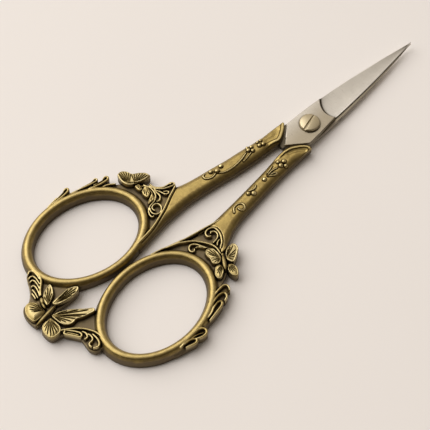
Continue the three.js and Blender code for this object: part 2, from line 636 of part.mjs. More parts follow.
function castHandle(name) {
  const form = handles[name];
  const { side } = form;
  const front = ringPoint(side, 0);
  const rear = [ringPoint(side, 180)[0], 0];
  const end = form.end.map(([share, away]) => heelPoint(side, share, away));
  const innerEdge = shankEdge(shankEdges[name].inner);
  const outerEdge = shankEdge(shankEdges[name].outer);
  const shankRear = shifted(form.shankRear, front).reverse();
  const shankLine = side > 0
    ? [...end.reverse(), ...innerEdge, ...shankRear, ...outerEdge.reverse()]
    : [...end, ...outerEdge, ...shankRear, ...innerEdge.reverse()];
  const pads = wingOutlines(form.wings, front).map((points) => slab(points, plateBottom, plateTop));
  const body = join([
    ringSolid(side),
    slab(shankLine, shankBottom, shankTop, shankRound),
    ringPlate(side, shifted(form.plate, front)),
    ringPlate(side, shifted(form.tail, rear)),
    ...pads,
    ...ornament(name, front, rear),
    ...shankRelief(name),
  ]);
  return cut(body, [tangSlot(side), ...seats(form, front, rear)]);
}

// The slot that takes the tang of the handle's blade
function tangSlot(side) {
  const level = side > 0 ? bladeLevel - tangThickness : frontLevel;
  const line = tangOutline(tangGap).map(([x, y]) => [
    x * Math.cos(lean) + side * y * Math.sin(lean),
    x * Math.sin(lean) - side * y * Math.cos(lean) - middleOffset,
  ]);
  return slab(line, level, level + tangThickness + tangGap);
}

// Clear space above the plate for the butterflies
function seats(form, front, rear) {
  const outlines = [...wingOutlines(form.wings, front), ...wingOutlines(form.tailWings, rear)];
  return outlines.map((points) => slab(grown(points, seatGap), plateTop, plateTop + ringHeight));
}

function half(name) {
  const form = handles[name];
  const front = ringPoint(form.side, 0);
  const rear = [ringPoint(form.side, 180)[0], 0];
  const bowRibs = form.ribs.map(([wing, ...ends]) => [form.wingRoots[wing], ...ends]);
  return [
    node(`${name}_handle`, castHandle(name), bronze),
    node(`${name}_bow_butterfly`, butterfly(form.wings, bowRibs, form.bodies, front), wingBronze),
    node(`${name}_tail_butterfly`, butterfly(form.tailWings, form.tailRibs, form.tailBodies, rear),
      wingBronze),
  ];
}

const grips = new THREE.Group();
grips.position.y = middleOffset;
grips.add(...half('left'), ...half('right'));

const scissors = new THREE.Group();
scissors.add(...blades(), pivotScrew(), pivotNut(), grips);

export default scissors;
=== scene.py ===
# Embroidery scissors with cast bronze handles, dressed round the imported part.
# The object's shapes are worked out in millimetres and made in metres. In the tables of points
# X runs from the pivot to the tips and Y from the handles' middle line to the left handle.
import math

import bpy
import numpy as np
from mathutils import Matrix, Vector


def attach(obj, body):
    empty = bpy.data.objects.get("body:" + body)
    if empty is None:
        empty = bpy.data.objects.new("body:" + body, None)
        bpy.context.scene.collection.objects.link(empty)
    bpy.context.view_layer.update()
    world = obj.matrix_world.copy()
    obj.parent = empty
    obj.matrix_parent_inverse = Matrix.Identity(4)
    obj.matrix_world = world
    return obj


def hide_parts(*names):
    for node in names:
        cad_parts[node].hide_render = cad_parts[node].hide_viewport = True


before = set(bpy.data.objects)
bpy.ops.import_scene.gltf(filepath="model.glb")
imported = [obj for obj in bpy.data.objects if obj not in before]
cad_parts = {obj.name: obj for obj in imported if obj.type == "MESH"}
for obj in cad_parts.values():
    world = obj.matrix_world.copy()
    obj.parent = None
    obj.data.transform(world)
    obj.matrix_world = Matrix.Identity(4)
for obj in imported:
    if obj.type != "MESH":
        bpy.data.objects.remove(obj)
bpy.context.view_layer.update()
MM = 0.001

# Sizes that the castings share, in millimetres
MIDDLE = 0.5  # the handles' middle line lies this far left of the pivot
RING_CENTRE = (-62.3, 12.8)
RING_HALF = (15.17, 11.35)  # to the centre line of the bar
RING_TOE = 6  # degrees
RING_WIDTH = 2.2
RING_TOP = 3.2
RING_ROUND = 2.35  # power of the rounded section, where 2 is an ellipse
RING_FLARE = 0.42  # how far each wall of a ring spreads towards the ground
FLARE_TOP = 2.7
FLARE_HEIGHT = 1.6
FOOT_ROUNDING = 0.3
SHANK_TOP = 3.1
SHANK_BOTTOM = 0.4
SHANK_CROWN = 1.1  # how much lower the shank's free edges lie than its middle
SHANK_SHOULDER = 1.7
FREE_EDGES = (0, 3)  # runs of a shank's outline that are free edges
RIM_SINK = 1.2  # how far a rim sinks into the shank at its far end
PLATE_BOTTOM = 0.5
PLATE_TOP = 2.0
PLATE_ROUNDING = 0.15
CURL_FLOOR = 2.2
LEAF_TOP = 3.35
LEAF_DOME = 0.3
VEIN_HALF = 0.11
VEIN_DEPTH = 0.2
STEM_RISE = 0.3
WING_RIM_RISE = 0.05
WING_RIM_INSET = 0.16
WING_DISH = 0.06  # depth of a wing's face inside its rim
GROOVE_SHARE = 0.024  # half the width of a groove over its length
GROOVE_DEPTH = 0.2
BODY_LEVEL = 3.15
HALO = 0.13  # width of the dark line round beads and stems
CAST_STEP = 0.09  # spacing of the grid on which a casting is worked out
WING_STEP = 0.05
SMALL_STEP = 0.06
SOFT = 0.16  # how far cast forms run into each other
BAR_SOFT = 0.1
CRISP = 0.04  # the same for beads and stems, which stand out sharply


# Grids that hold the distance to a shape's surface, negative inside it


def smooth(points, closed=False, per_span=6):
    """A smooth line through the points, each span in short straight steps."""
    p = np.array(points, float)
    n = len(p)
    if closed:
        p = np.vstack([p[-1], p, p[0], p[1]])
    else:
        p = np.vstack([2 * p[0] - p[1], p, 2 * p[-1] - p[-2]])
    spans = n if closed else n - 1
    out = []
    for i in range(spans):
        a, b, c, d = p[i:i + 4]
        for k in range(per_span):
            t = k / per_span
            out.append(0.5 * (2 * b + (c - a) * t + (2 * a - 5 * b + 4 * c - d) * t * t
                              + (3 * b - a - 3 * c + d) * t ** 3))
    if not closed:
        out.append(p[-2])
    return np.array(out)


def line_distance(x, y, points):
    """Distance to an open line, and the share of its length at the nearest point."""
    best = np.full(x.shape, 1e9)
    share = np.zeros(x.shape)
    steps = np.hypot(*(points[1:] - points[:-1]).T)
    reach = np.concatenate([[0], np.cumsum(steps)])
    for i, (a, b) in enumerate(zip(points[:-1], points[1:])):
        ab = b - a
        t = ((x - a[0]) * ab[0] + (y - a[1]) * ab[1]) / max(ab @ ab, 1e-12)
        t = np.clip(t, 0, 1)
        d = np.hypot(x - a[0] - t * ab[0], y - a[1] - t * ab[1])
        nearer = d < best
        best = np.where(nearer, d, best)
        share = np.where(nearer, (reach[i] + t * steps[i]) / reach[-1], share)
    return best, share


def outline_distance(x, y, points):
    """Distance to a closed outline, negative inside."""
    loop = np.vstack([points, points[:1]])
    d, _ = line_distance(x, y, loop)
    inside = np.zeros(x.shape, bool)
    for a, b in zip(loop[:-1], loop[1:]):
        if a[1] == b[1]:
            continue
        crosses = (a[1] > y) != (b[1] > y)
        inside ^= crosses & (x < a[0] + (y - a[1]) * (b[0] - a[0]) / (b[1] - a[1]))
    return np.where(inside, -d, d)


def blend_min(a, b, soft):
    """The nearer of two distances, with the corner between them rounded."""
    h = np.maximum(soft - np.abs(a - b), 0) / soft
    return np.minimum(a, b) - h * h * soft / 4


def blend_max(a, b, soft):
    return -blend_min(-a, -b, soft)


class Grid:
    """The distance to a shape all over a box, and where its colour is darkened as seen from above, by patina
    and by painted shade.
    """

    def __init__(self, low, high, step):
        count = np.ceil((np.array(high) - np.array(low)) / step).astype(int) + 1
        self.low = np.array(low, float)
        self.step = step
        self.axes = [low[k] + step * np.arange(count[k]) for k in range(3)]
        self.d = np.full(count, 2.0, np.float32)
        self.dark = np.zeros(count[:2], np.float32)

    def window(self, low, high):
        """The part of the grid over a rectangle: its index and its X and Y values."""
        spans = []
        for k in range(2):
            first = int(np.searchsorted(self.axes[k], low[k] - 1.0))
            last = int(np.searchsorted(self.axes[k], high[k] + 1.0))
            spans.append(slice(first, max(last, first + 1)))
        x, y = np.meshgrid(self.axes[0][spans[0]], self.axes[1][spans[1]], indexing="ij")
        return tuple(spans), x, y

    def over(self, points, margin=0.0):
        return self.window(points.min(0) - margin, points.max(0) + margin)

    def along(self, line, margin=0.0):
        """The index of the grid's part over a line, the distance to it and the share of its length."""
        spans, x, y = self.over(line, margin)
        return (spans, *line_distance(x, y, line))

    def join(self, spans, distance, soft=SOFT):
        self.d[spans] = blend_min(self.d[spans], distance.astype(np.float32), soft)

    def cut(self, spans, distance, soft=0.08):
        self.d[spans] = blend_max(self.d[spans], -distance.astype(np.float32), soft)

    def darken(self, spans, amount):
        """Marks, as seen from above, where the colour is darker, as patina and as painted shade."""
        self.dark[spans] = np.maximum(self.dark[spans], amount)

    def halo(self, spans, away):
        """A dark line just outside a raised form, from the distance to its foot: patina and painted shade
        where the form meets the ground.
        """
        self.darken(spans, 0.8 * np.exp(-(np.maximum(away, 0) / HALO) ** 2) * (away > -0.06))

    @property
    def z(self):
        return self.axes[2][None, None, :]

    def at(self, p):
        return sampled(self.d, self.low, self.step, p)

    def dark_at(self, p):
        return sampled(self.dark, self.low, self.step, p)

    # Solids that are joined on to what the grid already holds

    def slab(self, points, bottom, top, rounding=PLATE_ROUNDING, soft=SOFT):
        spans, x, y = self.over(points)
        d = outline_distance(x, y, points)[..., None] + rounding
        w = np.maximum(bottom - self.z, self.z - top) + rounding
        outside = np.hypot(np.maximum(d, 0), np.maximum(w, 0))
        self.join(spans, np.minimum(np.maximum(d, w), 0) + outside - rounding, soft)

    def bar(self, points, width, top, bottom, tail=1.0, soft=SOFT, ground=None):
        """A round-topped bar along a line, narrower at its ends, with its top above any ground given."""
        spans, x, y = self.over(points, width)
        d, share = line_distance(x, y, points)
        full = np.sqrt(np.clip(4 * share * (1 - share), 0, 1))
        r = width / 2 * (tail + (1 - tail) * full)[..., None]
        crest = top if ground is None else top + ground(x, y)[..., None]
        rise = np.maximum(self.z - (crest - r), 0)
        distance = np.maximum(np.hypot(d[..., None], rise) - r, bottom - self.z)
        self.join(spans, distance, soft)

    def lobe(self, x0, y0, long, wide, rise, level, turn=0.0, soft=SOFT, bottom=None):
        """An ellipsoid that stands on a column of its own outline down to bottom."""
        reach = max(long, wide)
        spans, x, y = self.window((x0 - reach, y0 - reach), (x0 + reach, y0 + reach))
        c, s = math.cos(math.radians(turn)), math.sin(math.radians(turn))
        p = (((x - x0) * c + (y - y0) * s) / long)[..., None]
        q = ((-(x - x0) * s + (y - y0) * c) / wide)[..., None]
        w = np.maximum(self.z - level, 0) / rise if bottom is not None else (self.z - level) / rise
        length = np.sqrt(p * p + q * q + w * w)
        steep = np.sqrt((p / long) ** 2 + (q / wide) ** 2 + (w / rise) ** 2)
        distance = length * (length - 1) / np.maximum(steep, 1e-6)
        if bottom is not None:
            distance = np.maximum(distance, bottom - self.z)
        self.join(spans, distance, soft)

    def carve(self, points, width, depth, level):
        """A groove along a line, cut into the top that lies at the height level."""
        spans, d, _ = self.along(points, width)
        distance = np.hypot(d[..., None], self.z - level) - np.float32(width / 2)
        rise = np.hypot(d[..., None] / (width / 2), (self.z - level) / depth) - 1
        self.cut(spans, np.where(rise < 3, rise * min(width / 2, depth), distance), 0.14)
        self.halo(spans, d)


def sampled(values, low, step, p):
    """A grid's values at many points, between its nodes."""
    n = values.ndim
    q = np.clip((p[:, :n] - low[:n]) / step, 0, np.array(values.shape) - 1.001)
    i = q.astype(int)
    f = q - i
    out = np.zeros(len(p))
    for corner in np.ndindex(*[2] * n):
        weight = np.prod(np.where(corner, f, 1 - f), axis=1)
        out += weight * values[tuple((i + corner).T)]
    return out


def surface(grid):
    """Corners and quads of the surface where the grid's distance is zero."""
    d = grid.d
    inside = d < 0
    shape = np.array(d.shape) - 1
    cube = [(a, b, c) for a in (0, 1) for b in (0, 1) for c in (0, 1)]

    def shifted(array, o):
        return array[o[0]:shape[0] + o[0], o[1]:shape[1] + o[1], o[2]:shape[2] + o[2]]

    count = sum(shifted(inside, o).astype(np.int8) for o in cube)
    cells = np.argwhere((count > 0) & (count < 8))
    values = {o: d[tuple((cells + o).T)] for o in cube}
    total = np.zeros((len(cells), 3))
    hits = np.zeros(len(cells))
    for a in cube:
        for k in range(3):
            if a[k]:
                continue
            b = tuple(1 if m == k else a[m] for m in range(3))
            va, vb = values[a], values[b]
            crossing = (va < 0) != (vb < 0)
            t = np.where(crossing, va / np.where(va == vb, 1, va - vb), 0)
            for m in range(3):
                total[:, m] += crossing * (a[m] + (t if m == k else 0))
            hits += crossing
    points = grid.low + grid.step * (cells + total / hits[:, None])
    number = np.full(shape, -1, np.int32)
    number[tuple(cells.T)] = np.arange(len(cells))
    quads = []
    for k in range(3):
        m, n = (k + 1) % 3, (k + 2) % 3
        first = [slice(1, shape[0]), slice(1, shape[1]), slice(1, shape[2])]
        first[k] = slice(0, shape[k])
        second = list(first)
        second[k] = slice(1, shape[k] + 1)
        change = inside[tuple(first)] != inside[tuple(second)]
        edges = np.argwhere(change) + [0 if j == k else 1 for j in range(3)]
        outwards = inside[tuple(edges.T)]
        ring = []
        for dm, dn in ((1, 1), (0, 1), (0, 0), (1, 0)):
            cell = edges.copy()
            cell[:, m] -= dm
            cell[:, n] -= dn
            ring.append(number[tuple(cell.T)])
        quad = np.stack(ring, 1)
        quad[~outwards] = quad[~outwards][:, ::-1]
        quads.append(quad)
    return points, np.vstack(quads)


def relaxed(points, quads, rounds=2, share=0.5):
    """Corners moved part of the way to the middle of their neighbours."""
    pairs = np.vstack([quads[:, [k, (k + 1) % 4]] for k in range(4)])
    pairs = np.vstack([pairs, pairs[:, ::-1]])
    count = np.bincount(pairs[:, 0], minlength=len(points))[:, None]
    for _ in range(rounds):
        total = [np.bincount(pairs[:, 0], points[pairs[:, 1], k], len(points)) for k in range(3)]
        points = points + share * (np.stack(total, 1) / np.maximum(count, 1) - points)
    return points


def linked(name, data):
    """A new object in the scene that shows the mesh, lamp or camera data."""
    obj = bpy.data.objects.new(name, data)
    bpy.context.scene.collection.objects.link(obj)
    return obj


def mesh_object(name, points, faces, smooth_shading=True):
    """An object from corners in millimetres and faces of one size."""
    mesh = bpy.data.meshes.new(name)
    faces = np.asarray(faces, np.int32)
    size = faces.shape[1]
    mesh.vertices.add(len(points))
    mesh.vertices.foreach_set("co", (np.asarray(points) * MM).astype(np.float32).ravel())
    mesh.loops.add(faces.size)
    mesh.loops.foreach_set("vertex_index", faces.ravel())
    mesh.polygons.add(len(faces))
    mesh.polygons.foreach_set("loop_start", np.arange(0, faces.size, size, dtype=np.int32))
    mesh.update(calc_edges=True)
    mesh.validate()
    mesh.polygons.foreach_set("use_smooth", np.full(len(mesh.polygons), smooth_shading))
    return linked(name, mesh)


def add_value(obj, name, values):
    layer = obj.data.attributes.new(name, "FLOAT", "POINT")
    layer.data.foreach_set("value", np.asarray(values, np.float32))


def vectors(items, key):
    values = np.zeros(len(items) * 3, np.float32)
    items.foreach_get(key, values)
    return values.reshape(-1, 3)


def corners(obj):
    return vectors(obj.data.vertices, "co") / MM


def openness(points, normals, grids):
    """1 on crests and flats, falling to 0 in hollows, from how close the surface comes again."""
    result = np.zeros(len(points))
    for reach, weight in ((0.2, 0.45), (0.45, 0.35), (0.95, 0.2)):
        probe = points + normals * reach
        nearest = np.min([grid.at(probe) for grid in grids], axis=0)
        result += weight * np.clip(nearest / reach, 0, 1)
    return result


def crispness(points, normals, grid):
    """How far the surface falls away just under it: large on edges and thin crests."""
    depth = 0.3
    return np.clip(1 + grid.at(points - normals * depth) / depth, 0, 1)


def in_hole(points, side):
    """1 inside the centre line of the ring on that side, 0 outside it or where there is no ring."""
    x, y = points[:, 0] - RING_CENTRE[0], side * points[:, 1] - RING_CENTRE[1]
    toe = math.radians(RING_TOE)
    along = x * math.cos(toe) - y * math.sin(toe)
    across = x * math.sin(toe) + y * math.cos(toe)
    return (side != 0) * ((along / RING_HALF[0]) ** 2 + (across / RING_HALF[1]) ** 2 < 1)


def cast_object(name, grid, others=(), hole_side=0):
    """The mesh of a grid's shape, with the values that its material reads."""
    points, quads = surface(grid)
    points = relaxed(points, quads)
    obj = mesh_object(name, points, quads)
    normals = vectors(obj.data.vertex_normals, "vector")
    # open: the material darkens what is not open, as patina in the hollows and as painted shade there and
    # where other pieces come close
    add_value(obj, "open", openness(points, normals, [grid, *others]))
    add_value(obj, "edge", crispness(points, normals, grid))
    # side: painted shade on the walls, strongest on the walls inside a ring's hole
    wall = np.clip(1 - normals[:, 2] / 0.5, 0, 1)
    add_value(obj, "side", wall * (0.3 + 0.7 * in_hole(points, hole_side)))
    # dark: patina and painted shade from the grid's map, negative where a painted highlight lightens the
    # beads
    add_value(obj, "dark", grid.dark_at(points) * np.clip(normals[:, 2] * 2, 0, 1))
    return obj


# Outlines of the handles. A run of points is one smooth line, and runs meet at corners.


def closed_runs(*runs):
    """The closed outline that some runs of points make."""
    lines = [smooth(run) if len(run) > 2 else np.array(run, float) for run in runs]
    return np.vstack([line[:-1] for line in lines])


def ring_line(side, steps=144):
    """The centre line of a ring's bar, closed."""
    t = np.radians(360 * np.arange(steps + 1) / steps)
    x, y = RING_HALF[0] * np.cos(t), RING_HALF[1] * np.sin(t)
    toe = math.radians(-RING_TOE)
    return np.stack([x * math.cos(toe) - y * math.sin(toe) + RING_CENTRE[0],
                     side * (x * math.sin(toe) + y * math.cos(toe) + RING_CENTRE[1])], 1)


LEFT = {
    "side": 1,
    # Outlines of the shank and of the bow's and the tail's plate
    "shank": [
        [(-4.75, 4.3), (-9.3, 4.75), (-14, 5.2), (-18.5, 5.75), (-23.1, 6.2), (-27.4, 6.85), (-31.7, 7.4),
         (-35, 8), (-37.4, 8.7)],
        [(-37.4, 8.7), (-40, 7.3), (-43, 5.7), (-46, 4.2), (-49, 3.3), (-52, 2.9), (-55.6, 2.3)],
        [(-55.6, 2.3), (-55.4, 0.9)],
        [(-55.4, 0.9), (-50, 1.85), (-46, 2.5), (-42, 2.85), (-37.7, 2.95), (-33.6, 2.65), (-30.3, 2.3),
         (-27, 1.9), (-23.8, 1.45), (-20.4, 1.1), (-17, 0.85), (-13, 0.7), (-9.75, 0.6)],
        [(-9.75, 0.6), (-8.7, 0.9), (-7.5, 1.5), (-6, 2.55), (-5, 3.45), (-4.75, 4), (-4.75, 4.3)],
    ],
    "tip": (-4.75, 4.2),
    "bow": [
        [(-62.3, 12.8), (-49.1, 20.1)],
        [(-49.1, 20.1), (-47.3, 19.1), (-46.2, 18.2), (-45, 16.5), (-41.8, 13.6), (-40, 10.9),
         (-37.5, 10.3)],
        [(-37.5, 10.3), (-37.3, 8.6)],
        [(-37.3, 8.6), (-40, 7.3), (-43, 5.7), (-46, 4.2), (-49, 3.3), (-52, 2.8)],
        [(-52, 2.8), (-62.3, 12.8)],
    ],
    "tail": [
        [(-62.3, 12.8), (-78.8, 14.5)],
        [(-78.8, 14.5), (-80, 13.6), (-81.2, 11.2), (-82.4, 9.4), (-83.8, 8.2), (-85.4, 7.9), (-86.5, 6.6),
         (-86.9, 4.4), (-86.6, 1.8)],
        [(-86.6, 1.8), (-80.5, 1.9), (-74.5, 2), (-73, 3.4)],
        [(-73, 3.4), (-62.3, 12.8)],
    ],
    # Bars: width, top and points
    "bars": [
        (0.58, 3.3, [(-54.6, 2.4), (-51.5, 2.9), (-48.5, 3.6), (-44.4, 5.1), (-41.7, 6.45), (-40.1, 7.25),
         (-37.4, 8.45)]),
        (0.4, 3.05, [(-43.8, 8.75), (-45.8, 8.3), (-46.6, 7.8), (-47.2, 7), (-47.45, 6.15), (-47.3, 5.7),
         (-46.85, 5.65)]),
        (0.4, 3.15, [(-46.15, 7.85), (-46.55, 7.15), (-46.6, 6.4), (-46.3, 5.75), (-45.65, 5.35),
         (-44.85, 5.4), (-44.1, 5.95), (-43.75, 6.65), (-43.8, 7.4), (-44.3, 7.9), (-45.05, 8), (-45.6, 7.7),
         (-45.85, 7.2), (-45.7, 6.6)]),
        (0.46, 3.2, [(-42.9, 13.9), (-42.3, 12.5), (-42.2, 11.4), (-42.45, 10.2), (-43, 9.35),
         (-43.8, 8.75)]),
        (0.3, 3, [(-43.7, 14.4), (-43, 13.6), (-42.7, 12.5), (-42.75, 11.3), (-43.1, 10.2)]),
        (0.45, 3.1, [(-41.95, 11), (-41.95, 10.1), (-41.9, 9.2), (-42.25, 8.5), (-42.95, 8.05),
         (-43.55, 8.2)]),
        (0.4, 3.1, [(-41.75, 11.4), (-41.65, 10.7), (-41.2, 9.9), (-40.9, 9), (-40.6, 8.35), (-40, 8.1),
         (-39.65, 8.35), (-39.85, 8.8), (-40.45, 9.2)]),
        (0.42, 3.1, [(-41.6, 13.1), (-41.5, 12.4), (-41.2, 11.6), (-40.5, 10.85), (-39.65, 10.25),
         (-38.8, 10.1), (-37.5, 10)]),
        (0.42, 3.2, [(-42, 12.8), (-41.75, 11.9), (-41.3, 11.05), (-40.5, 10.3), (-39.7, 9.7), (-38.8, 9.35),
         (-37.9, 9.05), (-37.2, 8.95), (-37.05, 9.4), (-37.4, 9.8), (-37.85, 9.75)]),
        (0.54, 3.2, [(-77.7, 14.1), (-77.5, 12.9), (-77.5, 11.8), (-77.85, 10.75), (-78.55, 9.75),
         (-79.3, 9.05), (-80.1, 8.15), (-80.7, 7.25)]),
        (0.47, 3.15, [(-79.4, 13.6), (-78.7, 14), (-78.1, 13.65), (-77.9, 12.9), (-77.95, 11.9),
         (-78.15, 10.8)]),
        (0.45, 3.1, [(-79.9, 12.6), (-79.35, 12.75), (-78.8, 12.4), (-78.65, 11.7), (-78.75, 10.8),
         (-78.95, 9.85)]),
        (0.43, 3.05, [(-80.3, 11.7), (-79.65, 11.75), (-79.35, 11.3), (-79.35, 10.55), (-79.55, 9.6),
         (-79.8, 8.9)]),
        (0.43, 3, [(-80.85, 10.5), (-80.35, 10.5), (-80.15, 9.9), (-80.3, 9), (-80.6, 8.1), (-80.95, 7.35)]),
        (0.41, 2.95, [(-81.15, 9.85), (-81.2, 9), (-81.4, 8.05), (-81.6, 7.25)]),
        (0.4, 2.9, [(-81.85, 9.1), (-81.9, 8.35), (-82.1, 7.5)]),
    ],
    # Grooves: width, depth and points
    "grooves": [
        (0.12, 0.25, [(-54, 2), (-51.4, 2.45), (-48.4, 3.15), (-44.2, 4.65), (-41.5, 6), (-39.9, 6.8),
         (-37.2, 8)]),
    ],
    # Leaves: outline, then the root and ends of the veins
    "leaves": [
        ([(-44.65, 15.15), (-44.9, 14.7), (-44.95, 13.8), (-44.65, 13.1), (-44.2, 13.1), (-43.7, 13.4),
          (-43.5, 14.1), (-43.6, 14.9)],
         (-43.3, 14.4), [(-44.65, 14.7), (-44.7, 14.05), (-44.5, 13.4), (-43.95, 13.4)]),
        ([(-43.7, 13.2), (-44.45, 12.85), (-44.8, 12.25), (-44.95, 11.5), (-44.8, 10.65), (-44.35, 10.4),
          (-43.7, 10.7), (-43.1, 11.2), (-42.75, 11.95), (-42.6, 12.9), (-42.85, 13.5)],
         (-42.9, 13.3), [(-44.5, 12.35), (-44.65, 11.5), (-44.45, 10.75), (-43.65, 11), (-43.05, 11.6)]),
        ([(-43.1, 10.8), (-44.15, 10.2), (-45.3, 9.5), (-45.65, 9), (-45.15, 8.85), (-44.4, 8.9),
          (-43.65, 8.9), (-43.2, 9.5), (-42.95, 10.4)],
         (-42.9, 10.5), [(-45.3, 9.2), (-44.55, 9.1), (-43.75, 9.15)]),
    ],
    # Scrolls outside the ring: width, top and points
    "curls": [
        (0.62, 3.2, [(-62.6, 24.9), (-61.2, 24.85), (-60, 24.85), (-58.9, 24.95), (-57.9, 25.1),
         (-57.3, 25.4), (-57.25, 25.85), (-57.7, 26.05), (-58.3, 25.9)]),
        (0.34, 3, [(-61.9, 25.3), (-60.6, 25.4), (-59.4, 25.55), (-58.4, 25.8)]),
        (0.42, 2.95, [(-64.2, 25), (-62.8, 25.2), (-61.7, 25.4), (-61, 25.65)]),
        (0.52, 3.2, [(-55.6, 23.75), (-54, 23.35), (-52.4, 23), (-51.3, 22.8), (-50.6, 22.7), (-50.2, 22.95),
         (-50.4, 23.35), (-50.9, 23.4)]),
        (0.32, 2.95, [(-54.6, 23.8), (-53.2, 23.5), (-51.9, 23.3), (-51, 23.35)]),
        (0.62, 3.2, [(-53.4, 22.2), (-52, 21.75), (-50.4, 21.35), (-49.3, 21.2), (-48.4, 21.2),
         (-47.9, 21.45), (-47.9, 21.9), (-48.3, 22.15), (-48.9, 22.1)]),
        (0.34, 3, [(-51.9, 22.3), (-50.6, 22), (-49.5, 21.9), (-48.7, 22)]),
        (0.4, 2.7, [(-59, 24.7), (-57, 24.3), (-55.4, 23.95), (-53.9, 23.6)]),
        (0.5, 2.9, [(-51.2, 20.6), (-49.7, 20.3), (-48.5, 19.7), (-47.6, 19)]),
    ],
    # Beads: place and radius
    "beads": [
        (-28.3, 5.5, 0.55), (-27, 4.65, 0.69), (-25.35, 5.05, 0.55), (-17.1, 3.9, 0.58),
        (-16.7, 4.75, 0.45), (-15.85, 4.15, 0.5), (-16.35, 3.1, 0.55), (-13.7, 4.15, 0.45),
        (-12.8, 4.05, 0.48), (-14.05, 3.1, 0.55), (-13.05, 2.75, 0.58),
    ],
    # Stems: width and points
    "stems": [
        (0.5, [(-29.9, 6.15), (-30.6, 5.8), (-30.6, 5), (-29.9, 4.4), (-28.9, 4.15), (-27.7, 4.4)]),
        (0.48, [(-27, 3.95), (-25.9, 3.25), (-24, 2.85), (-22, 2.85), (-20, 3.15), (-18.1, 3.7)]),
        (0.36, [(-20.2, 2.35), (-18.6, 2.55), (-17, 2.95)]),
    ],
    # Rims: width, rise and points
    "rims": [
        (0.8, 0.22, [(-5.15, 3.9), (-6.2, 2.95), (-7.4, 2.1), (-8.5, 1.5), (-9.4, 1.25), (-10.3, 1.5),
         (-11.3, 1.75), (-12.6, 1.9), (-15, 1.9)]),
    ],
    # Dishes: width, depth and points
    "dishes": [
        (1.5, 0.16, [(-7.4, 3.6), (-8.8, 2.85), (-9.9, 2.6), (-11.5, 2.9)]),
    ],
}

